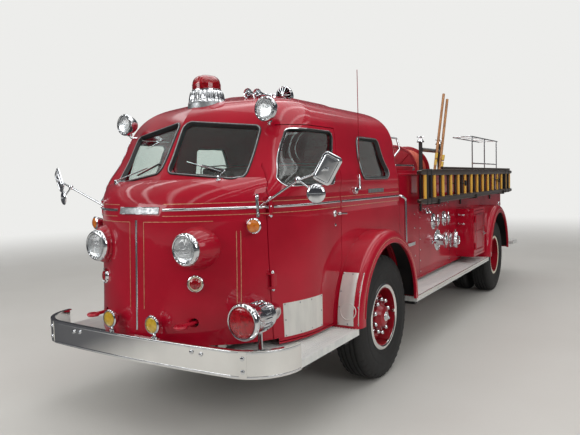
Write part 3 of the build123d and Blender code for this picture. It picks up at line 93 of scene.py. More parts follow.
# Sizes are in millimetres. patch: how wide the colour clouds are; grain: the fine relief; wave: slow relief
# of a panel; stretch: how much longer the pattern is along each axis; dust: what settles on top
finishLooks = {
    # alkyd enamel, sprayed and polished on beaten steel: deep wet crimson with slow waves in its reflections
    "crimsonEnamel": {"colour": "#AC0B27", "shade": "#9A0921", "patch": 500, "rough": 0.34, "spread": 0.05,
                      "grain": 14, "height": 0.012, "wave": 420, "waveHeight": 0.45, "specular": 0.10,
                      "coat": 0.65, "coatRough": 0.03, "dust": "#C9A9A4", "dustShare": 0.07},
    # the same enamel brushed on by hand: a little flatter and darker
    "wheelEnamel": {"colour": "#9C1022", "shade": "#7E0C1A", "patch": 120, "rough": 0.38, "spread": 0.08,
                    "grain": 10, "height": 0.02, "specular": 0.2, "coat": 0.6, "coatRough": 0.12,
                    "dust": "#8A7166", "dustShare": 0.15},
    # chassis paint, brushed thick: satin black under road dust
    "chassisPaint": {"colour": "#1B1B1D", "shade": "#2A2724", "patch": 160, "rough": 0.5, "spread": 0.12,
                     "grain": 8, "height": 0.05, "dust": "#6B6259", "dustShare": 0.35},
    # grey stoved enamel of the cab's inside and the mirror backs: even satin
    "greyEnamel": {"colour": "#B9BBB8", "shade": "#A5A7A4", "patch": 90, "rough": 0.32, "spread": 0.06,
                   "grain": 8, "height": 0.01, "coat": 0.3, "coatRough": 0.15},
    # ivory enamel: the dish of a marker lamp and the painted ring of a rear wheel
    "ivoryEnamel": {"colour": "#E4DCC4", "shade": "#D2C7A8", "patch": 40, "rough": 0.28, "spread": 0.05,
                    "grain": 6, "height": 0.01, "coat": 0.5, "coatRough": 0.1},
    # chromium plate over nickel: mirror bright, cloudy from years of wiping
    "chromePlate": {"colour": "#E2E4E6", "shade": "#CFD2D6", "patch": 60, "metallic": 1.0, "rough": 0.07,
                    "spread": 0.05, "grain": 4, "height": 0.004},
    # rolled steel, polished and plated: broad soft reflections that bend over slow dents
    "polishedSteel": {"colour": "#EFEFEC", "shade": "#E2E2E0", "patch": 420, "metallic": 1.0, "rough": 0.05,
                      "spread": 0.04, "grain": 5, "height": 0.003, "wave": 420, "waveHeight": 5.0},
    # bare zinc-coated steel of rollers and screws: dull grey, faintly blotched
    "galvanisedSteel": {"colour": "#A9ACAD", "shade": "#8C9092", "patch": 26, "metallic": 0.85, "rough": 0.36,
                        "spread": 0.12, "grain": 6, "height": 0.02},
    # rolled aluminium boards, worn dull by boots, dirt between the ribs
    "boardAluminium": {"colour": "#E0E1DE", "shade": "#D2D4D2", "patch": 70, "metallic": 0.2, "rough": 0.42,
                       "spread": 0.12, "grain": 5, "height": 0.03, "stretch": (1.0, 0.12, 1.0)},
    # flat kick plates, brushed: pale, with a soft sheen and scuffs
    "kickAluminium": {"colour": "#DDDCD6", "shade": "#D0CFCA", "patch": 60, "metallic": 0.3, "rough": 0.36,
                      "spread": 0.14, "grain": 4, "height": 0.02, "stretch": (1.0, 1.0, 0.2)},
    # chequer plate of the steps: raised bars in two directions, 34 mm apart
    "chequerAluminium": {"colour": "#DCDDD9", "shade": "#CED0CE", "patch": 90, "metallic": 0.2, "rough": 0.38,
                         "spread": 0.1, "grain": 5, "height": 0.02, "bars": 34, "barHeight": 1.6},
    # laminated plate glass: clear with a faint green
    "plateGlass": {"colour": "#EAF2EE", "shade": "#E2ECE8", "patch": 400, "rough": 0.015, "spread": 0.008,
                   "grain": 60, "height": 0.002, "glass": 1.0},
    # pressed lamp glass in four colours: clear, ruby, amber and selective yellow
    "clearLens": {"colour": "#FAFBFB", "shade": "#F0F3F4", "patch": 30, "rough": 0.03, "spread": 0.02,
                  "grain": 9, "height": 0.15, "stretch": (3.0, 1.0, 0.25), "glass": 0.85, "coat": 0.4,
                  "coatRough": 0.03},
    "rubyLens": {"colour": "#CC0A22", "shade": "#A80618", "patch": 26, "rough": 0.05, "spread": 0.03,
                 "grain": 6, "height": 0.1, "glass": 0.5, "coat": 0.8, "coatRough": 0.03},
    "amberLens": {"colour": "#E8862A", "shade": "#C9661A", "patch": 20, "rough": 0.07, "spread": 0.03,
                  "grain": 5, "height": 0.1, "glass": 0.25, "coat": 0.8, "coatRough": 0.03},
    "yellowLens": {"colour": "#E9C23A", "shade": "#CFA526", "patch": 24, "rough": 0.07, "spread": 0.03,
                   "grain": 7, "height": 0.15, "glass": 0.3, "coat": 0.8, "coatRough": 0.03},
    # silvered mirror glass
    "mirrorGlass": {"colour": "#E6EAEB", "shade": "#DCE1E3", "patch": 300, "metallic": 1.0, "rough": 0.03,
                    "spread": 0.01, "grain": 90, "height": 0.002},
    # carbon-black tyre rubber, moulded: matt with grey bloom and dust on the shoulders
    "tyreRubber": {"colour": "#151516", "shade": "#222120", "patch": 60, "rough": 0.72, "spread": 0.1,
                   "grain": 3, "height": 0.05, "dust": "#6E675E", "dustShare": 0.25},
    # extruded window rubber: black, slightly shiny where it is wiped
    "gasketRubber": {"colour": "#121213", "shade": "#1E1E1F", "patch": 40, "rough": 0.42, "spread": 0.1,
                     "grain": 3, "height": 0.02},
    # rubber hose on the reel, faded orange-pink
    "reelHoseRubber": {"colour": "#C9573F", "shade": "#AE4632", "patch": 50, "rough": 0.55, "spread": 0.1,
                       "grain": 4, "height": 0.06, "dust": "#C0A898", "dustShare": 0.25},
    # hard suction hose: wire-ribbed black rubber and canvas
    "suctionRubber": {"colour": "#202022", "shade": "#323130", "patch": 70, "rough": 0.62, "spread": 0.1,
                      "grain": 3, "height": 0.08, "dust": "#77706A", "dustShare": 0.3},
    # ash rungs under yellowed spar varnish: long grain along the rung
    "varnishedAsh": {"colour": "#E4B23E", "shade": "#CB922C", "patch": 22, "rough": 0.3, "spread": 0.08,
                     "grain": 3, "height": 0.05, "stretch": (1.0, 1.0, 0.07), "coat": 0.5, "coatRough": 0.12},
    # ladder rails painted almost black over the wood, edges rubbed
    "paintedAsh": {"colour": "#2A211C", "shade": "#3D2C22", "patch": 16, "rough": 0.4, "spread": 0.1,
                   "grain": 3, "height": 0.06, "stretch": (1.0, 0.05, 1.0), "coat": 0.3, "coatRough": 0.2,
                   "dust": "#7A6C60", "dustShare": 0.3},
    # turned ash poles, oiled: pale brown, fine grain along the pole
    "oiledAsh": {"colour": "#B07A45", "shade": "#8A5A30", "patch": 12, "rough": 0.45, "spread": 0.08,
                 "grain": 3, "height": 0.06, "stretch": (1.0, 0.3, 0.05), "coat": 0.15, "coatRough": 0.3},
    # signal-yellow bands painted on the poles
    "bandPaint": {"colour": "#D8B23A", "shade": "#BF9826", "patch": 30, "rough": 0.4, "spread": 0.06,
                  "grain": 4, "height": 0.02, "coat": 0.3, "coatRough": 0.15},
    # dark red hide of the bench, creased and rubbed
    "seatHide": {"colour": "#3A1614", "shade": "#54211C", "patch": 110, "rough": 0.42, "spread": 0.1,
                 "grain": 3, "height": 0.25, "pebble": 5, "coat": 0.15, "coatRough": 0.3},
    # moulded black phenolic of the dash and the steering wheel
    "phenolic": {"colour": "#161514", "shade": "#221F1C", "patch": 30, "rough": 0.28, "spread": 0.06,
                 "grain": 5, "height": 0.01, "coat": 0.3, "coatRough": 0.1},
    # gold leaf lines under varnish: warm, broken by the brush
    "goldLeaf": {"colour": "#D6A47E", "shade": "#B87A5C", "patch": 18, "metallic": 0.35, "rough": 0.34,
                 "spread": 0.08, "grain": 4, "height": 0.01, "coat": 0.4, "coatRough": 0.1},
    # open joints between panels: near-black strips laid on the skin, painted shade of the gaps
    "panelShadow": {"colour": "#140608", "shade": "#1E0A0C", "patch": 30, "rough": 0.8, "spread": 0.05,
                    "grain": 4, "height": 0.01},
}
# the socket of a finished surface that each optional value sets, and its value where the look leaves it out
surfaceSockets = (("Metallic", "metallic", 0.0), ("Specular IOR Level", "specular", 0.5),
                  ("Coat Weight", "coat", 0.0), ("Coat Roughness", "coatRough", 0.03),
                  ("Transmission Weight", "glass", 0.0))


def reliefOf(tree, height, distance, normal=None):  # one bump, on top of an earlier one if there is one
    inputs = {"Height": height, "Distance": distance / 1000, "Strength": 1.0}
    if normal:
        inputs["Normal"] = normal
    return addNode(tree, "ShaderNodeBump", inputs).outputs["Normal"]


def chequerBars(tree, coords, pitch):  # two crossed sets of short bars, each in the other's gaps
    heights = []
    for turn, shift in ((45, 0.0), (-45, 0.5)):
        turned = addNode(tree, "ShaderNodeMapping", {"Vector": coords, "Rotation": (0, 0, math.radians(turn)),
                                                     "Location": (shift * pitch, 0, 0)}).outputs["Vector"]
        bars = addNode(tree, "ShaderNodeTexBrick", {
            "Vector": turned, "Color1": (0, 0, 0, 1), "Color2": (0, 0, 0, 1), "Mortar": (1, 1, 1, 1),
                                                    "Scale": 1.0,
            "Mortar Size": 0.3 * pitch, "Mortar Smooth": 0.6, "Brick Width": pitch,
            "Row Height": pitch * 0.8}).outputs["Color"]
        heights.append(addNode(tree, "ShaderNodeInvert", {"Color": bars}).outputs["Color"])
    return blendColours(tree, 1.0, *heights, "LIGHTEN")


def makeFinish(name, look):
    material = bpy.data.materials.new(name)
    material.use_nodes = True
    tree = material.node_tree
    tree.nodes.clear()
    coords = objectCoords(tree)
    place = coords
    if "stretch" in look:
        place = addNode(tree, "ShaderNodeMapping",
                        {"Vector": coords, "Scale": look["stretch"]}).outputs["Vector"]
    clouds = noise(tree, place, 1000 / look["patch"], 5.0)
    share = ranged(tree, clouds, 0.38, 0.66)
    colour = blendColours(tree, share, linearColor(look["colour"]), linearColor(look["shade"]))
    roughness = ranged(tree, clouds, 0.3, 0.7, look["rough"] - look["spread"] * 0.5,
                       look["rough"] + look["spread"])
    relief = reliefOf(tree, noise(tree, place, 1000 / look["grain"], 3.0), look["height"])
    if "pebble" in look:  # hide: closed cells with creases between them
        cells = addNode(tree, "ShaderNodeTexVoronoi", {"Vector": coords, "Scale": 1000 / look["pebble"]},
                        feature="DISTANCE_TO_EDGE").outputs["Distance"]
        relief = reliefOf(tree, cells, 1.2, relief)
    if "bars" in look:
        relief = reliefOf(tree, chequerBars(tree, coords, look["bars"] / 1000), look["barHeight"], relief)
    if "wave" in look:
        relief = reliefOf(tree, noise(tree, coords, 1000 / look["wave"], 1.0), look["waveHeight"], relief)
    if "dust" in look:
        facing = alongAxis(tree, addNode(tree, "ShaderNodeNewGeometry").outputs["Normal"], "Z")
        settled = maths(tree, "MULTIPLY", ranged(tree, facing, 0.55, 1.0, 0.0, look["dustShare"]), clouds)
        colour = blendColours(tree, settled, colour, linearColor(look["dust"]))
        roughness = maths(tree, "ADD", roughness, settled)
    inputs = {"Base Color": colour, "Roughness": roughness, "Normal": relief}
    inputs.update({socket: look.get(key, usual) for socket, key, usual in surfaceSockets})
    shader = addNode(tree, "ShaderNodeBsdfPrincipled", inputs)
    addNode(tree, "ShaderNodeOutputMaterial", {"Surface": shader.outputs["BSDF"]})
    return material


finishes = {name: makeFinish(name, look) for name, look in finishLooks.items()}


def splitFinish(name, base, other, axis, edge, over=True):
    # the base finish with the look of another past a plane: one solid painted in two finishes
    finishes[name] = material = finishes[base].copy()
    material.name = name
    tree = material.node_tree
    shader = next(node for node in tree.nodes if node.type == "BSDF_PRINCIPLED")
    beyond = "GREATER_THAN" if over else "LESS_THAN"
    past = maths(tree, beyond, alongAxis(tree, objectCoords(tree), axis), edge)
    look, metals = finishLooks[other], [finishLooks[kind].get("metallic", 0.0) for kind in (base, other)]
    colour, roughness = (shader.inputs[socket].links[0].from_socket for socket in ("Base Color", "Roughness"))
    tree.links.new(blendColours(tree, past, colour, linearColor(look["colour"])), shader.inputs["Base Color"])
    mixed = addNode(tree, "ShaderNodeMix", {0: past, 2: roughness, 3: look["rough"]}).outputs[0]
    tree.links.new(mixed, shader.inputs["Roughness"])
    tree.links.new(ranged(tree, past, 0.0, 1.0, *metals), shader.inputs["Metallic"])


splitFinish("standPaint", "chassisPaint", "chromePlate", "Z", 2.162)
splitFinish("framePaint", "chassisPaint", "crimsonEnamel", "Y", -3.68, over=False)
splitFinish("boardMetal", "chequerAluminium", "chassisPaint", "Z", 0.5295, over=False)
# painted shade: past Y -3.30 the cab's inside takes the black of the phenolic, for the shade inside the cab
splitFinish("cabLining", "greyEnamel", "phenolic", "Y", -3.30)
print("finishes made:", len(finishes))


# Solids are lists of (points, faces); a piece is made of one or more of them
def basis(direction):
    along = Vector(direction).normalized()
    side = along.cross(upward) if abs(along.z) < 0.9 else leftward.copy()
    side.normalize()
    return along, side, side.cross(along)


def around(count, first=0.0):  # the turns of so many places, evenly round a circle
    return [2 * math.pi * (index + first) / count for index in range(count)]


def loft(rings, closed=False):  # skin over rings of points, capped unless it runs back into itself
    count, size = len(rings), len(rings[0])
    faces = []
    for ring in range(count if closed else count - 1):
        low, high = ring * size, (ring + 1) % count * size
        faces += [(low + step, low + (step + 1) % size, high + (step + 1) % size, high + step)
                  for step in range(size)]
    if not closed:
        faces += [tuple(range(size - 1, -1, -1)), tuple(range((count - 1) * size, count * size))]
    return [Vector(point) for ring in rings for point in ring], faces


def lathe(profile, place, direction, steps=40, flutes=0, depth=0.0):
    # (radius, reach) points turned about an axis; flutes press that many grooves into it
    along, side, up = basis(direction)
    points, faces, rings = [], [], []
    for radius, reach in profile:
        centre = Vector(place) + along * reach
        turns = around(steps) if radius > 1e-6 else []
        rings.append(list(range(len(points), len(points) + max(1, len(turns)))))
        points += [centre + (side * math.cos(turn) + up * math.sin(turn))
                   * (radius * (1 - depth * (0.5 - 0.5 * math.cos(turn * flutes))))
                   for turn in turns] or [centre]
    for first, second in zip(rings, rings[1:]):
        for step in range(steps):
            after = (step + 1) % steps
            if len(first) > 1 and len(second) > 1:
                faces.append((first[step], second[step], second[after], first[after]))
            elif len(first) > 1:
                faces.append((first[after], first[step], second[0]))
            elif len(second) > 1:
                faces.append((first[0], second[step], second[after]))
    if profile[0] != profile[-1]:
        faces += [tuple(ring) for ring in (rings[0][::-1], rings[-1]) if len(ring) > 1]
    return points, faces


def bentRun(points, bend, steps=6):  # a run of straight pieces with its corners rounded
    points = [Vector(point) for point in points]
    run = [points[0]]
    for before, corner, after in zip(points, points[1:], points[2:]):
        back, ahead = before - corner, after - corner
        first = corner + back.normalized() * min(bend, back.length * 0.45)
        last = corner + ahead.normalized() * min(bend, ahead.length * 0.45)
        for share in [step / steps for step in range(steps + 1)]:
            run.append(first.lerp(corner, share).lerp(corner.lerp(last, share), share))
    return run + [points[-1]]


def tubeAlong(points, radius, sides=12, closed=False):  # radius: one size, or one for each point
    points = [Vector(point) for point in points]
    rings, across = [], None
    for index, point in enumerate(points):
        before = points[index - 1] if index or closed else point
        after = points[(index + 1) % len(points)] if index + 1 < len(points) or closed else point
        along = (after - before).normalized()
        across = basis(along)[1] if across is None else (across - along * across.dot(along)).normalized()
        up = along.cross(across)
        size = radius[index] if isinstance(radius, (list, tuple)) else radius
        rings.append([point + (across * math.cos(turn) + up * math.sin(turn)) * size
                      for turn in around(sides)])
    return loft(rings, closed)


def slab(low, high, round=0.003, steps=2):  # a block with its edges rounded
    work = bmesh.new()
    size = [abs(b - a) for a, b in zip(low, high)]
    middle = (Vector(low) + Vector(high)) / 2
    bmesh.ops.create_cube(work, size=1, matrix=Matrix.Diagonal(size + [1]))
    bmesh.ops.bevel(work, geom=work.edges[:], offset=min(round, min(size) * 0.45), segments=steps,
                    profile=0.6, affect="EDGES")
    work.verts.index_update()
    points = [middle + corner.co for corner in work.verts]
    faces = [tuple(corner.index for corner in face.verts) for face in work.faces]
    work.free()
    return points, faces


def oblong(low, high):  # the four corners of a flat oblong
    return [(low[0], low[1]), (high[0], low[1]), (high[0], high[1]), (low[0], high[1])]


def roundedCorners(corners, radius, grow=0.0,
                   steps=6):  # closed flat outline with rounded corners, grown outwards
    outline, count = [], len(corners)
    for index in range(count):
        corner = Vector(corners[index])
        back = (Vector(corners[index - 1]) - corner).normalized()
        ahead = (Vector(corners[(index + 1) % count]) - corner).normalized()
        half = back.angle(ahead) / 2
        centre = corner + (back + ahead).normalized() * radius / math.sin(half)
        first, last = corner + back * radius / math.tan(half), corner + ahead * radius / math.tan(half)
        for step in range(steps + 1):
            outline.append(centre + (first.lerp(last, step / steps) - centre).normalized() * (radius + grow))
    return outline


def evenly(points, spacing):  # the same closed line with a point about every spacing
    line = []
    for first, last in zip(points, points[1:] + points[:1]):
        count = max(1, math.ceil((last - first).length / spacing))
        line += [first.lerp(last, step / count) for step in range(count)]
    return line


# Looks onto the CAD model's skins, and what is laid on the places they find
aheadY, astern, besideX = -4.5, 5.0, 1.6


def skinOf(*names):
    points, faces = [], []
    for name in names:
        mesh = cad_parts[name].data
        start = len(points)
        points += [vertex.co.copy() for vertex in mesh.vertices]
        faces += [[start + index for index in polygon.vertices] for polygon in mesh.polygons]
    return BVHTree.FromPolygons(points, faces)


cabSkin, noseSkin = skinOf("cab_shell", "door_left", "door_right"), skinOf("cab_shell")
bodySkin, fenderSkin, glassSkin = skinOf("rear_body"), skinOf("fenders"), skinOf("cab_windows", "cab_shell")
bumperSkin, stepSkin = skinOf("front_bumper"), skinOf("running_boards")


def onSkin(skin, start, direction):  # where a straight look first meets the skin, and the way it faces there
    direction = Vector(direction).normalized()
    place, normal, _, _ = skin.ray_cast(Vector(start), direction)
    if place is None:
        return None
    return place, -normal if normal.dot(direction) > 0 else normal


def fromFront(skin, x, z):
    return onSkin(skin, (x, aheadY, z), backward)


def fromLeft(skin, y, z):
    return onSkin(skin, (besideX, y, z), -leftward)


def settle(hits, closed=False, passes=2):  # evens out the facing of neighbouring places
    hits = [hit for hit in hits if hit]
    for _ in range(passes):
        eased = []
        for index, (place, normal) in enumerate(hits):
            before = hits[index - 1][1] if index or closed else normal
            after = hits[(index + 1) % len(hits)][1] if index + 1 < len(hits) or closed else normal
            eased.append((place, (before + normal * 2 + after).normalized()))
        hits = eased
    return hits


def spread(first, last, count):  # so many steps from one value or flat place to another
    if isinstance(first, (int, float)):
        return [first + (last - first) * step / count for step in range(count + 1)]
    return list(zip(*[spread(a, b, count) for a, b in zip(first, last)]))


def frontRun(skin, first, last, count):  # places under a straight line of (x, z) seen from ahead
    return settle([fromFront(skin, x, z) for x, z in spread(first, last, count)])


def leftRun(skin, first, last, count):  # the same for (y, z), seen from the left
    return settle([fromLeft(skin, y, z) for y, z in spread(first, last, count)])


def trim(hits, profile, closed=False, centre=None):
    # sweeps (across, rise) points along places on a skin; across points towards the centre when one is given
    frames, lean = [], 0
    for index, (place, normal) in enumerate(hits):
        before = hits[index - 1][0] if index or closed else place
        after = hits[(index + 1) % len(hits)][0] if index + 1 < len(hits) or closed else place
        across = (after - before).normalized().cross(normal).normalized()
        lean += across.dot(Vector(centre) - place) if centre else 0
        frames.append((place, normal, across))
    sign = -1 if lean < 0 else 1
    return loft([[place + across * sign * wide + normal * rise for wide, rise in profile]
                 for place, normal, across in frames], closed)


def halfRound(width, rise, sink=0.002, steps=6):
    turns = [math.pi * step / steps for step in range(steps + 1)]
    arc = [(-width / 2 * math.cos(turn), rise * math.sin(turn)) for turn in turns]
    return [(-width / 2, -sink)] + arc + [(width / 2, -sink)]


def flatBand(width, rise, sink=0.002):
    return [(-width / 2, -sink), (-width / 2, rise), (width / 2, rise), (width / 2, -sink)]


def skinPatch(rows, rise, sink=0.002):  # a thin plate over a grid of places on a skin
    wide, high = len(rows[0]), len(rows)
    points = [place + normal * lift for lift in (rise, -sink) for row in rows for place, normal in row]
    under, faces = wide * high, []
    for row in range(high - 1):
        for step in range(wide - 1):
            a, b, c, d = (place + row * wide + step for place in (0, 1, wide + 1, wide))
            faces += [(a, b, c, d), (a + under, d + under, c + under, b + under)]
    rim = [*range(wide), *range(2 * wide - 1, under, wide), *range(under - 2, under - wide - 1, -1),
           *range(under - 2 * wide, 0, -wide)]
    faces += [(first, first + under, second + under, second) for first, second in zip(rim, rim[1:] + rim[:1])]
    return points, faces


def mirrored(place):
    return Vector((-place[0], place[1], place[2]))


def onSide(solids, sign):
    if sign > 0:
        return list(solids)
    return [([mirrored(point) for point in points], [face[::-1] for face in faces]) for points,
            faces in solids]


def bothSides(solids):
    return onSide(solids, 1) + onSide(solids, -1)


def addObject(name, data):
    made = bpy.data.objects.new(name, data)
    bpy.context.scene.collection.objects.link(made)
    return made


def meshOf(name, solids, crease):
    work = bmesh.new()
    for points, faces in solids:
        corners = [work.verts.new(point) for point in points]
        for face in faces:
            work.faces.new([corners[index] for index in face])
        bmesh.ops.remove_doubles(work, verts=corners, dist=1e-5)
    bmesh.ops.recalc_face_normals(work, faces=work.faces[:])
    mesh = bpy.data.meshes.new(name)
    work.to_mesh(mesh)
    work.free()
    mesh.shade_smooth()
    mesh.set_sharp_from_angle(angle=math.radians(crease))
    return mesh


def joinFrame(piece, body, replaces=()):
    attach(piece, body)
    if replaces:
        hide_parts(*replaces)
    return piece


def addPiece(name, solids, finish, body="chassis", replaces=(), crease=34):
    piece = addObject(name, meshOf(name, solids, crease))
    piece.data.materials.append(finishes[finish])
    return joinFrame(piece, body, replaces)


def addPair(name, solids, finish, body, replaced=None):
    # a piece for each side, the right one mirrored; body and replaced hold %s for the side's name
    for side, sign in sides:
        replaces = (replaced % side,) if replaced else ()
        addPiece(name + "_" + side, onSide(solids, sign), finish, body % side, replaces)


# Two trees for what repeats. The first sets a head on every point, turned to that point's facing and along;
# the second lays a head in a straight row
def newTree(name, **kinds):
    tree = bpy.data.node_groups.new(name, "GeometryNodeTree")
    for label, kind in kinds.items():
        tree.interface.new_socket(label, in_out="INPUT", socket_type="NodeSocket" + kind)
    tree.interface.new_socket("Geometry", in_out="OUTPUT", socket_type="NodeSocketGeometry")
    return tree, addNode(tree, "NodeGroupInput").outputs


def endTree(tree, given, points, **settings):  # the head on each point, made real and painted
    head = addNode(tree, "GeometryNodeObjectInfo", {"Object": given["Head"]}).outputs["Geometry"]
    laid = addNode(tree, "GeometryNodeInstanceOnPoints", {"Points": points, "Instance": head, **settings})
    solid = addNode(tree, "GeometryNodeRealizeInstances",
                    {"Geometry": laid.outputs["Instances"]}).outputs["Geometry"]
    painted = addNode(tree, "GeometryNodeSetMaterial", {"Geometry": solid, "Material": given["Finish"]})
    addNode(tree, "NodeGroupOutput", {"Geometry": painted.outputs["Geometry"]})
    return tree


def makeStampTree():
    tree, given = newTree("stampHeads", Geometry="Geometry", Head="Object", Size="Float", Spread="Float",
                          Seed="Int", Finish="Material")
    facing, along = (addNode(tree, "GeometryNodeInputNamedAttribute", {"Name": name},
                             data_type="FLOAT_VECTOR")
                     .outputs["Attribute"] for name in ("facing", "along"))
    stood = addNode(tree, "FunctionNodeAlignRotationToVector", {"Vector": facing},
                    axis="Z").outputs["Rotation"]
    aimed = addNode(tree, "FunctionNodeAlignRotationToVector", {"Rotation": stood, "Vector": along}, axis="X",
                    pivot_axis="Z").outputs["Rotation"]
    least = maths(tree, "MULTIPLY", given["Spread"], -1.0)
    chance = addNode(tree, "FunctionNodeRandomValue", {2: least, 3: given["Spread"], "Seed": given["Seed"]},
                     data_type="FLOAT").outputs[1]
    turn = addNode(tree, "ShaderNodeCombineXYZ", {"Z": chance}).outputs[0]
    spin = addNode(tree, "FunctionNodeEulerToRotation", {"Euler": turn}).outputs[0]
    turned = addNode(tree, "FunctionNodeRotateRotation", {"Rotation": aimed, "Rotate By": spin},
                     rotation_space="LOCAL").outputs["Rotation"]
    return endTree(tree, given, given["Geometry"], Rotation=turned, Scale=given["Size"])


def makeRowTree():
    tree, given = newTree("layRow", Head="Object", Count="Int", Start="Vector", Step="Vector",
                          Finish="Material")
    line = addNode(tree, "GeometryNodeMeshLine", {"Count": given["Count"], "Start Location": given["Start"],
                                                  "Offset": given["Step"]}, mode="OFFSET").outputs["Mesh"]
    return endTree(tree, given, line)


stampTree, rowTree = makeStampTree(), makeRowTree()


def runTree(piece, tree, headSolids, values,
            crease=34):  # the tree's result as a plain mesh, no modifier left
    head = addObject(piece.name + "Head", meshOf(piece.name + "Head", headSolids, crease))
    modifier = piece.modifiers.new("repeat", "NODES")
    modifier.node_group = tree
    values = {"Head": head, **values}
    for item in tree.interface.items_tree:
        if item.in_out == "INPUT" and item.name in values:
            modifier[item.identifier] = values[item.name]
    made = bpy.data.meshes.new_from_object(piece.evaluated_get(bpy.context.evaluated_depsgraph_get()))
    piece.modifiers.remove(modifier)
    piece.data = made
    bpy.data.objects.remove(head)


def stamp(name, spots, headSolids, finish, body="chassis", size=1.0, spin=0.0):
    # spots are (place, facing, along): the head's Z goes to facing and its X to along
    mesh = bpy.data.meshes.new(name)
    mesh.from_pydata([spot[0] for spot in spots], [], [])
    for index, key in ((1, "facing"), (2, "along")):
        attribute = mesh.attributes.new(key, "FLOAT_VECTOR", "POINT")
        attribute.data.foreach_set("vector", [value for spot in spots for value in spot[index]])
    piece = addObject(name, mesh)
    runTree(piece, stampTree, headSolids,
            {"Size": size, "Spread": spin, "Seed": 7, "Finish": finishes[finish]})
    return joinFrame(piece, body)


def layRow(name, headSolids, count, start, step, finish):
    piece = addObject(name, bpy.data.meshes.new(name))
    runTree(piece, rowTree, headSolids,
            {"Count": count, "Start": start, "Step": step, "Finish": finishes[finish]})
    return joinFrame(piece, "chassis")


# Camera at the photograph's viewpoint, pale floor and soft overhead light
view = {"place": (2.9106, -6.5103, 1.6941), "turn": 32.153, "dip": 3.592, "roll": -1.7196, "lens": 34.86}
studio = {"background": "#EDEDEB", "floor": "#CFCDC8", "floorShade": "#C4C1BB", "fadeNear": 6.0,
          "fadeFar": 19.0, "band": "#424246", "farFloor": "#58585A", "overhead": "#FFFFFF",
          "strip": "#7D7D7C", "bay": 0.26, "glint": 2.2, "daylight": 0.55, "shadeFull": -2.5,
          "shadeNone": -1.0, "clouds": 0.7, "grit": 60.0, "half": 60}
# place, target, size and power of each lamp
lamps = {"roofLight": ((1.0, -1.0, 7.5), (0.4, -0.4, 0), (7.0, 10.0), 300),
         "sideLight": ((8.5, -5.5, 4.6), (0.6, -0.6, 1.0), (5.0, 3.0), 170),
         "noseLight": ((-4.0, -9.0, 4.2), (0, -3, 1.2), (4.0, 2.6), 170)}


def makeCamera():
    lens = bpy.data.cameras.new("photoCamera")
    lens.lens, lens.sensor_width, lens.clip_end = view["lens"], 36.0, 200
    camera = addObject("photoCamera", lens)
    turns = ((view["turn"], "Z"), (90 - view["dip"], "X"), (view["roll"], "Z"))
    aim = Matrix.Translation(view["place"])
    for turn, axis in turns:
        aim = aim @ Matrix.Rotation(math.radians(turn), 4, axis)
    camera.matrix_world = aim
    bpy.context.scene.camera = camera
    bpy.context.scene.view_settings.view_transform = "Standard"


def makeWorld():
    world = bpy.data.worlds.new("studioLight")
    bpy.context.scene.world = world
    world.use_nodes = True
    tree = world.node_tree
    tree.nodes.clear()
    path = addNode(tree, "ShaderNodeLightPath").outputs
    sky = addNode(tree, "ShaderNodeSeparateXYZ",
                  {0: addNode(tree, "ShaderNodeTexCoord").outputs["Generated"]}).outputs
    # what metal and glass show: pale ground, a dark grey band above it, white light overhead
    band = addNode(tree, "ShaderNodeValToRGB", {"Fac": ranged(tree, sky["Z"], -0.3, 1.0)})
    stops = band.color_ramp.elements
    for _ in range(3):
        stops.new(0.5)
    spots = (0.0, 0.20, 0.245, 0.52, 0.66)
    for stop, spot, key in zip(stops, spots, ("floor", "background", "band", "band", "overhead")):
        stop.position, stop.color = spot, linearColor(studio[key])
    # the light overhead runs in bays: darker strips between long pale panes
    across = maths(tree, "DIVIDE", sky["X"], maths(tree, "MAXIMUM", sky["Z"], 0.15))
    bays = maths(tree, "PINGPONG", across, studio["bay"])
    strip = ranged(tree, bays, studio["bay"] * 0.30, studio["bay"] * 0.36)
    aloft = ranged(tree, sky["Z"], 0.40, 0.50)
    striped = blendColours(tree, maths(tree, "MULTIPLY", strip, aloft), band.outputs["Color"],
                           linearColor(studio["strip"]))
    # the panes are brighter than anything else, which gives enamel and metal their sharp glints
    panes = ranged(tree, bays, studio["bay"] * 0.10, studio["bay"] * 0.24, studio["glint"], 0.0)
    glow = maths(tree, "ADD", maths(tree, "MULTIPLY", panes, aloft), 1.0)
    mirrorLight, plain, light = (
        addNode(tree, "ShaderNodeBackground", {"Color": colour, "Strength": strength}).outputs[0]
        for colour, strength in ((striped, glow), (linearColor(studio["background"]), 1.0),
                                 (linearColor("#FFFFFF"), studio["daylight"])))
    shown = light
    for ray, seen in (("Is Glossy Ray", mirrorLight), ("Is Transmission Ray", plain),
                      ("Is Camera Ray", plain)):
        shown = addNode(tree, "ShaderNodeMixShader", {0: path[ray], 1: shown, 2: seen}).outputs[0]
    addNode(tree, "ShaderNodeOutputWorld", {"Surface": shown})


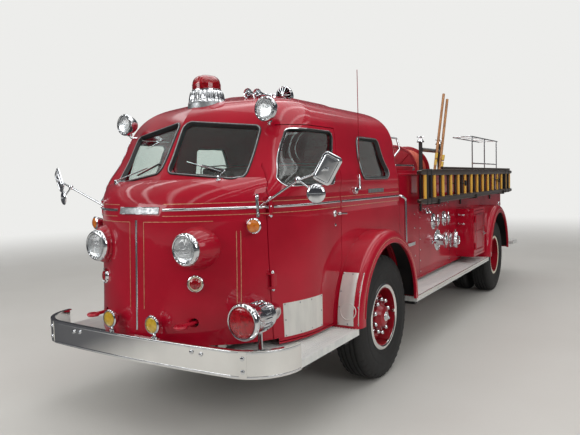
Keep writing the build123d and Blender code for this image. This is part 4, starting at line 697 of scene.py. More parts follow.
def makeFloor():
    material = bpy.data.materials.new("swept concrete")
    material.use_nodes = True
    tree = material.node_tree
    tree.nodes.clear()
    coords = objectCoords(tree)
    path = addNode(tree, "ShaderNodeLightPath").outputs
    colour = blendColours(tree, noise(tree, coords, studio["clouds"], 6.0), linearColor(studio["floor"]),
                          linearColor(studio["floorShade"]))
    # painted shade: bright metal shows the ground darker beyond the vehicle's right side, a shadow seen only
    # in reflections
    shade = ranged(tree, alongAxis(tree, coords, "X"), studio["shadeFull"], studio["shadeNone"], 1.0, 0.0,
                   interpolation_type="SMOOTHSTEP")
    colour = blendColours(tree, maths(tree, "MULTIPLY", shade, path["Is Glossy Ray"]), colour,
                          linearColor(studio["band"]))
    relief = reliefOf(tree, noise(tree, coords, studio["grit"], 4.0), 0.8)
    ground = addNode(tree, "ShaderNodeBsdfPrincipled",
                     {"Base Color": colour, "Roughness": 0.7, "Normal": relief})
    # far off, the floor runs into the plain background
    far = addNode(tree, "ShaderNodeVectorMath", {0: coords}, operation="LENGTH").outputs["Value"]
    fade = ranged(tree, far, studio["fadeNear"], studio["fadeFar"], interpolation_type="SMOOTHSTEP")
    looked = maths(tree, "ADD", path["Is Camera Ray"], path["Is Glossy Ray"])
    looked = maths(tree, "ADD", looked, path["Is Transmission Ray"], use_clamp=True)
    distant = blendColours(tree, path["Is Glossy Ray"], linearColor(studio["background"]),
                           linearColor(studio["farFloor"]))
    glow = addNode(tree, "ShaderNodeEmission", {"Color": distant, "Strength": 1.0})
    shown = addNode(tree, "ShaderNodeMixShader",
                    {0: maths(tree, "MULTIPLY", fade, looked), 1: ground.outputs["BSDF"],
                                                  2: glow.outputs[0]})
    addNode(tree, "ShaderNodeOutputMaterial", {"Surface": shown.outputs[0]})
    half = studio["half"]
    mesh = bpy.data.meshes.new("floor")
    mesh.from_pydata([(*corner, 0) for corner in oblong((-half, -half), (half, half))], [], [(0, 1, 2, 3)])
    mesh.materials.append(material)
    addObject("floor", mesh)


def addLamp(name, place, target, size, power):
    light = bpy.data.lights.new(name, "AREA")
    light.shape, light.size, light.size_y, light.energy = "RECTANGLE", *size, power
    lamp = addObject(name, light)
    lamp.location = place
    lamp.rotation_euler = (Vector(target) - Vector(place)).to_track_quat("-Z", "Y").to_euler()


makeCamera()
makeWorld()
makeFloor()
for lampName, settings in lamps.items():
    addLamp(lampName, *settings)
print("camera, floor and light made")

# Finishes of the CAD solids that stay as they are. A name with %s stands for the left and the right node
nodeFinishes = {
    "crimsonEnamel": "cab_shell fenders rear_body side_boxes front_lamps door_%s box_door_%s",
                "framePaint": "frame_rails",
    "chassisPaint": "engine_block front_axle rear_axle rack_brackets knuckle_%s", "cabLining": "cab_interior",
    "plateGlass": "cab_windows door_glass_%s", "polishedSteel": "front_bumper",
                "boardMetal": "running_boards",
    "chequerAluminium": "tailboard", "seatHide": "cab_seat", "paintedAsh": "ladders",
                "suctionRubber": "suction_hoses",
    "chromePlate": "pump_fittings siren_lamp roof_signals spotlights grab_rails tail_lamps aerial",
    "greyEnamel": "mirrors", "standPaint": "reel_stand", "oiledAsh": "pike_poles",
                "reelHoseRubber": "wound_hose",
    "wheelEnamel": "hose_reel front_wheel_%s rear_wheels_%s", "tyreRubber": "front_tyre_%s rear_tyres_%s",
    "galvanisedSteel": "side_roller_%s"}
for finish, nodeNames in nodeFinishes.items():
    for nodeName in nodeNames.split():
        for solidName in {nodeName.replace("%s", sideName) for sideName, _ in sides}:
            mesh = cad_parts[solidName].data
            mesh.materials.clear()
            mesh.materials.append(finishes[finish])
print("CAD solids painted")


# Cab glass surrounds. The outlines are the openings of the CAD model, given with their corner radii
windows = {"screenPane": (((0.040, 1.790), (0.026, 2.160), (0.606, 2.094), (0.616, 1.728)), 0.045),
           "quarter": (((-0.155, 1.712), (-0.140, 2.045), (0.285, 2.045), (0.448, 1.712)), 0.055),
           "door": (((-1.308, 1.675), (-1.068, 2.068), (-0.556, 2.068), (-0.665, 1.675)), 0.040),
           "reach": 0.004, "spacing": 0.022, "screenCentre": (0.32, -3.45, 1.94),
           "quarterCentre": (0.93, -1.96, 1.88), "doorCentre": (0.93, -2.95, 1.88),
           "gasket": ((-0.013, -0.002), (-0.013, 0.003), (-0.009, 0.007), (-0.002, 0.008), (0.005, 0.006),
                      (0.009, 0.0), (0.012, -0.010), (0.018, -0.0195), (0.014, -0.0235), (0.006, -0.0235),
                      (0.006, -0.002)),
           "gasketBead": ((-0.0065, 0.005), (-0.0065, 0.0085), (-0.0045, 0.0105), (-0.0015, 0.0105),
                          (0.0005, 0.0085), (0.0005, 0.005)),
           "channel": ((0.001, -0.002), (0.001, 0.001), (0.008, 0.001), (0.011, -0.002), (0.012, -0.021),
                       (0.006, -0.0235)),
           "channelBead": ((-0.005, -0.001), (-0.0045, 0.002), (-0.002, 0.0032), (0.001, 0.002),
                           (0.002, -0.001))}


def windowOutline(name):
    return evenly(roundedCorners(*windows[name], windows["reach"]), windows["spacing"])


def aroundSide(name, skin):
    return settle([fromLeft(skin, frontAxleY + distance, z) for distance, z in windowOutline(name)],
                  closed=True)


screenRun = settle([fromFront(noseSkin, x, z) for x, z in windowOutline("screenPane")], closed=True)
fixedRuns = ((screenRun, windows["screenCentre"]),
             (aroundSide("quarter", noseSkin), windows["quarterCentre"]))
for pieceName, profile, finish in (("glassGaskets", "gasket", "gasketRubber"),
                                   ("gasketBeads", "gasketBead", "galvanisedSteel")):
    addPiece(pieceName, bothSides([trim(run, windows[profile], True, centre) for run, centre in fixedRuns]),
             finish)
doorRun = aroundSide("door", skinOf("door_left"))
for pieceName, profile, finish in (("glassChannel", "channel", "gasketRubber"),
                                   ("channelBead", "channelBead", "chromePlate")):
    addPair(pieceName, [trim(doorRun, windows[profile], True, windows["doorCentre"])], finish, "door_%s_body")

# Wipers parked along the foot of each pane: pivot, arm and blade. Places are (x, z) on the glass
wiper = {"pivot": (0.498, 1.722), "pivotRise": 0.024, "hinge": (0.455, 1.775, 0.032),
         "tip": (0.265, 1.822, 0.024), "bladeLow": (0.415, 1.778), "bladeHigh": (0.135, 1.858),
         "bladeRise": 0.005, "holderRise": 0.006, "boss": ((0.017, -0.004), (0.017, 0.006), (0.012, 0.010),
                                                           (0.010, 0.026), (0.006, 0.032), (0, 0.032)),
         "rubber": ((-0.0025, -0.006), (-0.0025, 0.004), (0.0025, 0.004), (0.0025, -0.006)),
         "armSize": 0.0042, "holderSize": 0.0028}


def overGlass(x, z, lift=0.0):
    place, normal = fromFront(glassSkin, x, z)
    return place + normal * lift, normal


pivot, pivotFacing = overGlass(*wiper["pivot"])
arm = [pivot + pivotFacing * wiper["pivotRise"], overGlass(*wiper["hinge"])[0], overGlass(*wiper["tip"])[0]]
blade = [overGlass(x, z, wiper["bladeRise"]) for x, z in spread(wiper["bladeLow"], wiper["bladeHigh"], 4)]
holder = [place + normal * wiper["holderRise"] for place, normal in blade]
wiperMetal = [lathe(wiper["boss"], pivot, pivotFacing, 20),
              tubeAlong(bentRun(arm, 0.01), wiper["armSize"], 8), tubeAlong(holder, wiper["holderSize"], 8)]
addPiece("wiperArms", bothSides(wiperMetal), "chromePlate")
addPiece("wiperBlades", bothSides([trim(blade, wiper["rubber"])]), "gasketRubber")
print("glass surrounds and wipers made")

# Belt moulding and gold lines round the cab. A look turns about a point inside the nose, then runs back
# along the flank
girth = {"centre": (0.0, -2.92), "spacing": 0.030, "looks": 119, "least": 0.86, "beltZ": 1.535,
         "goldShifts": (-0.042, 0.037), "nose": (-4.0, -3.428), "door": (-3.414, -2.640),
         "flank": (-2.622, -1.42), "plateHalf": 0.205, "belt": halfRound(0.021, 0.009),
         "gold": flatBand(0.0042, 0.0012)}


def girthAt(z, part):  # places on the left half of the cab at one height, over one part of its length
    first, last = girth[part]
    centre = Vector((*girth["centre"], z))
    hits = []
    for turn in spread(0.0, math.radians(90), girth["looks"]):
        look = Vector((math.sin(turn), -math.cos(turn), 0))
        hit = onSkin(cabSkin, centre + look * 2.2, -look)
        if hit and first <= hit[0].y <= last and (hit[0] - centre).length > girth["least"]:
            hits.append(hit)
    y = centre.y + girth["spacing"]
    while y <= last:
        hit = fromLeft(cabSkin, y, z)
        if hit and y >= first and hit[0].x > girth["least"]:
            hits.append(hit)
        y += girth["spacing"]
    hits = settle(hits)
    return [hit for hit in hits if hit[0].x > girth["plateHalf"]] if part == "nose" else hits


goldHeights = [girth["beltZ"] + shift for shift in girth["goldShifts"]]
addPiece("beltMoulding",
         bothSides([trim(girthAt(girth["beltZ"], part), girth["belt"]) for part in ("nose", "flank")]),
         "chromePlate")
addPair("beltMoulding", [trim(girthAt(girth["beltZ"], "door"), girth["belt"])], "chromePlate", "door_%s_body")
addPair("goldLines", [trim(girthAt(z, "door"), girth["gold"]) for z in goldHeights], "goldLeaf",
        "door_%s_body")

# Gold frames on the nose, the double line at each corner and the bright strip down the middle
nose = {"frameTop": 1.455, "frameFoot": 0.870, "frameInner": 0.066, "frameOuter": 0.535,
        "doubleX": (0.652, 0.672), "doubleTop": 1.385, "doubleFoot": 0.905, "stripTop": 1.468,
        "stripFoot": 0.724, "strip": halfRound(0.016, 0.009)}


def noseAt(z, xFirst, xLast):
    return frontRun(noseSkin, (xFirst, z), (xLast, z),
                    max(2, math.ceil(abs(xLast - xFirst) / girth["spacing"])))


def noseDown(x, top, foot):
    return frontRun(cabSkin, (x, top), (x, foot), 26)


goldRuns = [girthAt(z, part) for z in goldHeights for part in ("nose", "flank")]
goldRuns += [noseAt(nose["frameTop"], nose["frameInner"], nose["frameOuter"]),
             noseDown(nose["frameInner"], nose["frameTop"], nose["frameFoot"])]
goldRuns += [noseDown(x, nose["doubleTop"], nose["doubleFoot"]) for x in nose["doubleX"]]
addPiece("goldLines", bothSides([trim(run, girth["gold"]) for run in goldRuns]), "goldLeaf")
addPiece("noseStrip", [trim(noseDown(0.0, nose["stripTop"], nose["stripFoot"]), nose["strip"])],
         "chromePlate")

# Bare ribbed plate on the nose and small bare plates behind the doors
badge = {"half": 0.185, "ribHalf": 0.173, "rows": (1.508, 1.523, 1.537, 1.552),
         "ribs": (1.518, 1.530, 1.542), "rise": 0.004, "rib": halfRound(0.006, 0.004, sink=-0.003),
         "rim": halfRound(0.007, 0.008), "flankY": (-2.105, -1.775), "flankRows": (1.583, 1.600, 1.618),
         "flankRise": 0.003}
badgePlate = skinPatch([noseAt(z, -badge["half"], badge["half"]) for z in badge["rows"]], badge["rise"])
flankY = badge["flankY"]
flankPlate = skinPatch([leftRun(cabSkin, (flankY[0], z), (flankY[1], z), 10) for z in badge["flankRows"]],
                       badge["flankRise"])
badgeRibs = [trim(noseAt(z, -badge["ribHalf"], badge["ribHalf"]), badge["rib"]) for z in badge["ribs"]]
badgeRibs += [trim(noseAt(z, -badge["half"], badge["half"]), badge["rim"])
              for z in (badge["rows"][0], badge["rows"][-1])]
addPiece("barePlates", [badgePlate, *bothSides([flankPlate])], "galvanisedSteel")
addPiece("badgeRibs", badgeRibs, "chromePlate")
print("belt, gold lines and plates made")

# Lever handle of each door, its rose and key ring, and the bright caps of the strap hinges
handle = {"y": -2.735, "z": 1.446, "length": 0.135, "grip": 0.030, "crown": 0.034,
          "keyDrop": (0, 0.005, -0.085), "rose": ((0.026, -0.004), (0.026, 0.004), (0.020, 0.010),
                                                  (0.011, 0.014), (0.010, 0.034), (0, 0.038)),
          "keyRing": ((0.012, -0.003), (0.012, 0.003), (0.008, 0.005), (0, 0.005))}
hinge = {"x": 0.826, "y": -3.432, "heights": (1.040, 1.535), "half": 0.056,
         "cap": ((0.0125, -0.004), (0.0135, 0.0), (0.0125, 0.006), (0.007, 0.013), (0, 0.015))}


def doorFittings():
    foot, normal = fromLeft(cabSkin, handle["y"], handle["z"])
    low, high = foot + normal * handle["grip"], foot + normal * handle["crown"]
    grip = bentRun([low, high + Vector((0, 0.02, 0)), low + Vector((0, handle["length"], -0.006))], 0.015)
    sizes = [0.009 + 0.003 * math.sin(turn) for turn in spread(0.0, math.pi, len(grip) - 1)]
    return [lathe(handle["rose"], foot, normal, 28), tubeAlong(grip, sizes, 12),
            lathe(handle["keyRing"], foot + Vector(handle["keyDrop"]), normal, 20)]


addPair("doorHandle", doorFittings(), "chromePlate", "door_%s_body")
hingeCaps = [lathe(hinge["cap"], (hinge["x"], hinge["y"], z + way * hinge["half"]), (0, 0, way), 20)
             for z in hinge["heights"] for way in (-1, 1)]
addPiece("hingeCaps", bothSides(hingeCaps), "chromePlate")

# Upright bracket at the mirror foot, as on the photograph's screen pillar
bracket = {"x": 0.750, "low": 1.470, "high": 1.622, "strap": halfRound(0.026, 0.012),
           "ear": ((0.013, -0.004), (0.013, 0.010), (0.008, 0.015), (0, 0.016))}
pillarRun = frontRun(noseSkin, (bracket["x"], bracket["low"]), (bracket["x"], bracket["high"]), 8)
bracketEars = [lathe(bracket["ear"], *pillarRun[index], 18) for index in (1, 7)]
addPiece("pillarBrackets", bothSides([trim(pillarRun, bracket["strap"]), *bracketEars]), "chromePlate")

# Amber side lamp below each bracket: bullet shell, bright ring, domed lens, on a short stem
amber = {"place": (0.775, -3.560, 1.418), "aim": (0.30, -0.95, 0.0), "footX": 0.735, "stem": 0.011,
         "shell": ((0, -0.088), (0.018, -0.080), (0.036, -0.052), (0.046, -0.018), (0.051, -0.012),
                   (0.051, 0.0), (0.043, 0.006), (0.040, 0.002), (0, 0.002)),
         "glass": ((0.0425, 0.001), (0.040, 0.008), (0.026, 0.016), (0, 0.020))}
amberPlace, amberAim = Vector(amber["place"]), Vector(amber["aim"])
amberFoot, amberFacing = fromFront(noseSkin, amber["footX"], amberPlace.z)
amberStem = tubeAlong([amberFoot - amberFacing * 0.004, amberPlace - amberAim * 0.03], amber["stem"], 12)
addPiece("amberShells", bothSides([lathe(amber["shell"], amberPlace, amberAim, 36), amberStem]),
         "chromePlate")
addPiece("amberLenses", bothSides([lathe(amber["glass"], amberPlace, amberAim, 36)]), "amberLens")

# Bright kick plates on the lower doors and on each front fender's leading face, with screws
kick = {"doorY": (-3.345, -2.955), "doorZ": (0.640, 0.872), "fenderX": (0.950, 1.116),
        "fenderZ": (0.600, 0.985), "lookY": -4.2, "rise": 0.0018, "inset": 0.016,
        "ringPlace": (1.034, 0.705), "ring": 0.062, "ringBand": halfRound(0.008, 0.004),
        "doorMiddle": (0.9, -3.150, 0.756), "fenderMiddle": (1.033, -2.7, 0.7925),
        "screw": ((0.0062, -0.001), (0.0062, 0.0006), (0.0045, 0.0022), (0, 0.0028)),
        "bolt": ((0.013, -0.002), (0.013, 0.003), (0.0115, 0.0035), (0.0105, 0.009), (0.006, 0.011),
                 (0, 0.0115))}
screwHead = [lathe(kick["screw"], (0, 0, 0), upward, 12)]
boltHead = [lathe(kick["bolt"], (0, 0, 0), upward, 18)]


def fenderAt(x, z):  # a place on the fender's leading face
    return onSkin(fenderSkin, (x, kick["lookY"], z), backward)


def inward(screws, centre, inset):  # screw spots moved from the rim towards the middle of a plate
    moved = []
    for place, normal in screws:
        step = Vector(centre) - place
        step -= normal * step.dot(normal)
        along = upward if abs(normal.z) < 0.8 else backward
        moved.append((place + step.normalized() * inset + normal * kick["rise"], normal, along))
    return moved


def sideSpots(spots, sign):
    return [(place, normal, along) if sign > 0 else (mirrored(place), mirrored(normal), along)
            for place, normal, along in spots]


doorRows = [leftRun(cabSkin, (kick["doorY"][0], z), (kick["doorY"][1], z), 12)
            for z in spread(*kick["doorZ"], 4)]
doorScrews = [doorRows[row][column] for row in (0, 2, 4) for column in (0, 4, 8, 12)
              if row != 2 or column not in (4, 8)]
doorScrews = inward(doorScrews, kick["doorMiddle"], kick["inset"])
fenderRows = [settle([fenderAt(x, z) for x in spread(*kick["fenderX"], 4)])
              for z in spread(*kick["fenderZ"], 12)]
fenderScrews = [fenderRows[row][column] for row in (0, 4, 8, 12) for column in (0, 4)]
fenderScrews += [fenderRows[row][2] for row in (0, 12)]
fenderScrews = inward(fenderScrews, kick["fenderMiddle"], kick["inset"] * 0.8)
ringX, ringZ = kick["ringPlace"]
fenderRing = [fenderAt(ringX + kick["ring"] * math.cos(turn), ringZ + kick["ring"] * math.sin(turn))
              for turn in around(28)]
addPair("doorKickPlate", [skinPatch(doorRows, kick["rise"])], "kickAluminium", "door_%s_body")
for sideName, sign in sides:
    stamp("doorKickScrews_" + sideName, sideSpots(doorScrews, sign), screwHead, "galvanisedSteel",
          "door_%s_body" % sideName, spin=1.2)
addPiece("fenderKickPlates",
         bothSides([skinPatch(fenderRows, kick["rise"]), trim(fenderRing, kick["ringBand"], True)]),
         "kickAluminium")
stamp("fenderKickScrews", sideSpots(fenderScrews, 1) + sideSpots(fenderScrews, -1), screwHead,
      "galvanisedSteel", spin=1.2)
print("doors, brackets and kick plates dressed")


# Head, marker and fog lamps: red bucket cowls that grow out of the nose, bright rims and fluted glass
headLamp = {"place": (0.424, -3.855, 1.280), "steps": 48, "sink": 0.010,
            "cowl": ((0.150, -0.160), (0.147, -0.130), (0.138, -0.100), (0.124, -0.062), (0.113, -0.044),
                     (0.108, -0.038)),
            "rim": ((0.108, -0.046), (0.112, -0.040), (0.113, -0.026), (0.109, -0.014), (0.103, -0.006),
                    (0.094, -0.002), (0.089, -0.006), (0.089, -0.022), (0.108, -0.046)),
            "reflector": ((0.086, -0.018), (0.070, -0.040), (0.046, -0.058), (0.018, -0.068), (0, -0.070)),
            "glass": ((0.0895, -0.012), (0.080, -0.004), (0.058, 0.006), (0.030, 0.013), (0, 0.016))}
marker = {"x": 0.434, "z": 1.049, "stand": 0.026,
          "rim": ((0.057, -0.036), (0.057, -0.016), (0.054, -0.007), (0.050, -0.005), (0.0475, -0.009),
                  (0.0475, -0.020), (0.057, -0.036)),
          "dish": ((0.048, -0.016), (0.044, -0.011), (0.038, -0.012), (0.0365, -0.018), (0.048, -0.022),
                   (0.048, -0.016)),
          "glass": ((0.038, -0.014), (0.036, -0.005), (0.024, 0.002), (0, 0.006))}
fogLamp = {"place": (0.204, -3.949, 0.791), "postPlace": (0.204, -3.918, 0.690),
           "footPlace": (0.204, -3.918, 0.700), "shell": ((0, -0.078), (0.020, -0.076), (0.036, -0.064),
                                                          (0.050, -0.046), (0.057, -0.026), (0.060, -0.020)),
           "rim": ((0.060, -0.024), (0.063, -0.018), (0.063, -0.010), (0.057, -0.003), (0.051, -0.003),
                   (0.050, -0.012), (0.060, -0.024)),
           "glass": ((0.0505, -0.010), (0.044, -0.006), (0.026, -0.002), (0, -0.001)),
           "post": ((0.011, 0.0), (0.011, 0.075)),
           "foot": ((0.024, 0.0), (0.024, 0.008), (0.016, 0.014), (0.011, 0.016))}


def acrossX(turn, radius):  # a spoke in the plane across X
    return Vector((0, math.cos(turn) * radius, math.sin(turn) * radius))


def acrossY(turn, radius):
    return Vector((math.cos(turn) * radius, 0, math.sin(turn) * radius))


def headCowl():  # its first ring is laid on the nose behind it
    points, faces = lathe(headLamp["cowl"], headLamp["place"], forward, headLamp["steps"])
    for point in points[:headLamp["steps"]]:
        hit = fromFront(noseSkin, point.x, point.z)
        if hit:
            point.y = hit[0].y + headLamp["sink"]
    return points, [face for face in faces if len(face) < 5]


def ribbedGlass(profile, place, direction, steps, depth, count):  # a dome with upright flutes pressed into it
    fine = [spot for first, last in zip(profile, profile[1:]) for spot in spread(first, last, 4)[:-1]]
    points, faces = lathe(fine + [profile[-1]], place, direction, steps)
    along, side, _ = basis(direction)
    width = profile[0][0]
    for point in points:
        reach = point - Vector(place)
        fromRim = (width - (reach - along * reach.dot(along)).length) / (width * 0.2)
        flute = math.sin(reach.dot(side) / width * math.pi * count) * min(1.0, max(0.0, fromRim))
        point += along * (depth * flute)
    return points, faces


markerPlace, markerFacing = fromFront(noseSkin, marker["x"], marker["z"])
markerPlace += markerFacing * marker["stand"]
headPlace, fogPlace = headLamp["place"], fogLamp["place"]
lampPieces = (
    ("headLampCowls", [headCowl()], "crimsonEnamel"),
    ("headLampRims",
     [lathe(headLamp["rim"], headPlace, forward, 56), lathe(headLamp["reflector"], headPlace, forward)],
     "chromePlate"),
    ("headLampLenses", [ribbedGlass(headLamp["glass"], headPlace, forward, 96, 0.0016, 22)], "clearLens"),
    ("markerRims", [lathe(marker["rim"], markerPlace, markerFacing, 44)], "chromePlate"),
    ("markerDishes", [lathe(marker["dish"], markerPlace, markerFacing, 44)], "ivoryEnamel"),
    ("markerLenses", [ribbedGlass(marker["glass"], markerPlace, markerFacing, 48, 0.0008, 9)], "rubyLens"),
    ("fogLampShells",
     [lathe(fogLamp["shell"], fogPlace, forward), lathe(fogLamp["rim"], fogPlace, forward, 44),
                       lathe(fogLamp["post"], fogLamp["postPlace"], upward, 18),
                       lathe(fogLamp["foot"], fogLamp["footPlace"], upward, 24)], "chromePlate"),
    ("fogLampLenses", [ribbedGlass(fogLamp["glass"], fogPlace, forward, 64, 0.0006, 13)], "yellowLens"))
for pieceName, solids, finish in lampPieces:
    addPiece(pieceName, bothSides(solids), finish, replaces=("front_lamps",))

# Siren lamp on the left step: bullet body, finned cowl, wide ruby lens
siren = {"place": (0.862, -3.841, 0.854),
         "body": ((0, -0.400), (0.014, -0.398), (0.034, -0.388), (0.052, -0.362), (0.064, -0.330),
                  (0.072, -0.290), (0.078, -0.268), (0.090, -0.252), (0.090, -0.238), (0.084, -0.232),
                  (0.084, -0.226), (0.099, -0.220), (0.099, -0.206), (0.092, -0.200), (0.092, -0.128),
                  (0.096, -0.110), (0.106, -0.062), (0.114, -0.034), (0.117, -0.030)),
         "rim": ((0.114, -0.036), (0.1175, -0.030), (0.1175, -0.014), (0.112, -0.004), (0.104, 0.002),
                 (0.098, 0.000), (0.097, -0.012), (0.114, -0.036)),
         "glass": ((0.098, -0.008), (0.086, 0.002), (0.060, 0.010), (0.030, 0.015), (0, 0.017)),
         "fins": 18, "finCircle": 0.0935, "finBack": 0.196, "finFront": 0.134, "finSize": 0.0045,
         "stand": ((0.052, 0.0), (0.052, 0.006), (0.044, 0.010), (0.024, 0.022), (0.017, 0.040),
                   (0.016, 0.190)),
         "standPlace": (0.862, -3.651, 0.578), "saddle": ((0.832, -3.691, 0.754), (0.892, -3.611, 0.776)),
         "ear": ((0.100, 0.030, 0.030), (0.112, 0.060, 0.0), (0.096, 0.120, -0.030)), "earBend": 0.02,
         "earSize": 0.005}
sirenPlace = Vector(siren["place"])
sirenBody = [lathe(siren["body"], sirenPlace, forward, 56), lathe(siren["rim"], sirenPlace, forward, 56),
             lathe(siren["stand"], siren["standPlace"], upward, 28), slab(*siren["saddle"], 0.004)]
for turn in around(siren["fins"]):
    fin = [sirenPlace + acrossY(turn, siren["finCircle"]) + backward * siren[key]
           for key in ("finBack", "finFront")]
    sirenBody.append(tubeAlong(fin, siren["finSize"], 6))
for way in (-1, 1):
    ear = [sirenPlace + Vector((x * way, y, z)) for x, y, z in siren["ear"]]
    sirenBody.append(tubeAlong(bentRun(ear, siren["earBend"]), siren["earSize"], 8))
addPiece("sirenLampBody", sirenBody, "chromePlate", replaces=("siren_lamp",))
addPiece("sirenLampLens", [ribbedGlass(siren["glass"], sirenPlace, forward, 72, 0.001, 11)], "rubyLens",
         replaces=("siren_lamp",))

# Bumper: paired bolts, lapped joints near its ends, and a rolled lip along its upper and lower edge
bumper = {"bolts": ((0.537, 0.656), (0.610, 0.650)), "joint": 0.905, "jointBolts": (0.575, 0.655),
          "low": 0.534, "high": 0.696, "seat": 0.001, "boltSize": 1.1, "lap": flatBand(0.050, 0.0028),
          "lipInset": 0.007, "lip": halfRound(0.013, 0.0010), "straight": 0.760, "cornerY": -3.500,
          "cornerReach": 1.2}


def bumperLip(z):  # from the bumper's middle to the end of its side
    hits = [fromFront(bumperSkin, x, z) for x in spread(0.0, bumper["straight"], 20)]
    corner = Vector((bumper["straight"], bumper["cornerY"], z))
    for degrees in range(4, 89, 4):
        out = Vector((math.sin(math.radians(degrees)), -math.cos(math.radians(degrees)), 0))
        hits.append(onSkin(bumperSkin, corner + out * bumper["cornerReach"], -out))
    return trim(settle(hits), bumper["lip"])


boltSpots = []
for sign in (1, -1):
    bolts = [(x, z, -bumper["seat"]) for x, z in bumper["bolts"]]
    bolts += [(bumper["joint"], z, bumper["seat"]) for z in bumper["jointBolts"]]
    for x, z, lift in bolts:
        place, normal = fromFront(bumperSkin, x * sign, z)
        boltSpots.append((place + normal * lift, normal, upward))
lips = [bumperLip(bumper["low"] + bumper["lipInset"]), bumperLip(bumper["high"] - bumper["lipInset"])]
joint = frontRun(bumperSkin, (bumper["joint"], bumper["low"]), (bumper["joint"], bumper["high"]), 6)
addPiece("bumperEdges", bothSides(lips), "chromePlate")
addPiece("bumperJoints", bothSides([trim(joint, bumper["lap"])]), "polishedSteel")
stamp("bumperBolts", boltSpots, boltHead, "chromePlate", size=bumper["boltSize"])

# Roof: ribbed beacon on a fluted skirt
beacon = {"place": (0.0, -3.055, 2.300), "ribs": (0.146, 0.160, 0.174),
          "base": ((0.153, -0.045), (0.153, -0.004), (0.150, 0.004), (0.150, 0.024), (0.143, 0.030)),
          "skirt": ((0.143, 0.026), (0.148, 0.031), (0.147, 0.036), (0.144, 0.040), (0.1415, 0.060),
                    (0.138, 0.080), (0.134, 0.100), (0.129, 0.116), (0.124, 0.121), (0.115, 0.124),
                    (0.112, 0.126)),
          "ring": ((0.1135, 0.122), (0.1165, 0.125), (0.1165, 0.131), (0.1135, 0.134), (0.110, 0.131)),
          "dome": ((0.110, 0.128), (0.1105, 0.150), (0.110, 0.175), (0.107, 0.196), (0.101, 0.212),
                   (0.090, 0.227), (0.072, 0.239), (0.045, 0.247), (0, 0.250)),
          "rib": ((0.108, -0.004), (0.1125, -0.002), (0.1125, 0.002), (0.108, 0.004))}
beaconDome = [lathe([(radius, rise + z) for radius, rise in beacon["rib"]], beacon["place"], upward, 64)
              for z in beacon["ribs"]]
beaconDome.append(lathe(beacon["dome"], beacon["place"], upward, 96, flutes=32, depth=0.012))
beaconSkirt = [lathe(beacon["skirt"], beacon["place"], upward, 144, flutes=24, depth=0.05),
               lathe(beacon["ring"], beacon["place"], upward, 64)]
beaconBase = [lathe(beacon["base"], beacon["place"], upward, 48)]
addPiece("beaconBase", beaconBase, "galvanisedSteel", replaces=("roof_signals",))
addPiece("beaconSkirt", beaconSkirt, "chromePlate", replaces=("roof_signals",))
addPiece("beaconDome", beaconDome, "rubyLens", replaces=("roof_signals",))

# Roof: two trumpet horns and a round siren with a spoked guard over its mouth
horns = {"places": ((0.236, -2.835, 2.412), (0.352, -2.870, 2.392)), "footBack": 0.190, "footTop": -0.008,
         "bell": ((0, -0.250), (0.008, -0.250), (0.013, -0.244), (0.013, -0.130), (0.015, -0.096),
                  (0.019, -0.062), (0.026, -0.032), (0.035, -0.010), (0.0405, -0.002), (0.0415, 0.0),
                  (0.040, 0.001), (0.034, -0.006), (0.024, -0.030), (0.015, -0.060), (0, -0.080)),
         "back": ((0, -0.262), (0.026, -0.262), (0.030, -0.256), (0.030, -0.246), (0.024, -0.238),
                  (0, -0.238)),
         "sirenPlace": (0.450, -2.640, 2.392), "sirenFoot": (0.450, -2.600, 2.350, 0.018),
         "siren": ((0, -0.092), (0.030, -0.092), (0.044, -0.084), (0.060, -0.060), (0.074, -0.030),
                   (0.0785, -0.020), (0.0785, -0.006), (0.072, -0.001), (0.066, -0.004)),
         "nose": ((0, -0.006), (0.016, -0.006), (0.016, 0.010), (0.010, 0.014), (0, 0.014)),
         "mouth": ((0.068, -0.012), (0.066, -0.004), (0, -0.004)),
         "spokes": 8, "spoke": 0.068, "spokeSize": 0.0022, "guardFront": 0.004, "guardBow": 0.008}


def roofFoot(x, y, top, radius):  # a post from the roof up to what it carries
    place, _ = onSkin(noseSkin, (x, y, 3.0), -upward)
    profile = ((radius * 2.4, -0.012), (radius * 2.4, 0.004), (radius * 1.5, 0.010), (radius, 0.016),
               (radius, top - place.z))
    return lathe(profile, place, upward, 24)


roofChrome = [lathe(horns["siren"], horns["sirenPlace"], forward, 48), roofFoot(*horns["sirenFoot"]),
              lathe(horns["nose"], horns["sirenPlace"], forward, 24)]
for x, y, z in horns["places"]:
    roofChrome += [lathe(horns["bell"], (x, y, z), forward), lathe(horns["back"], (x, y, z), forward, 32),
                   roofFoot(x, y + horns["footBack"], z + horns["footTop"], 0.009)]
middle = Vector(horns["sirenPlace"]) + forward * horns["guardFront"]
for turn in around(horns["spokes"] * 2)[:horns["spokes"]]:
    reach = acrossY(turn, horns["spoke"])
    spoke = [middle - reach, middle + forward * horns["guardBow"], middle + reach]
    roofChrome.append(tubeAlong(spoke, horns["spokeSize"], 6))
addPiece("roofHorns", roofChrome, "chromePlate", replaces=("roof_signals",))
addPiece("roofSirenMouth", [lathe(horns["mouth"], horns["sirenPlace"], forward)], "rubyLens",
         replaces=("roof_signals",))

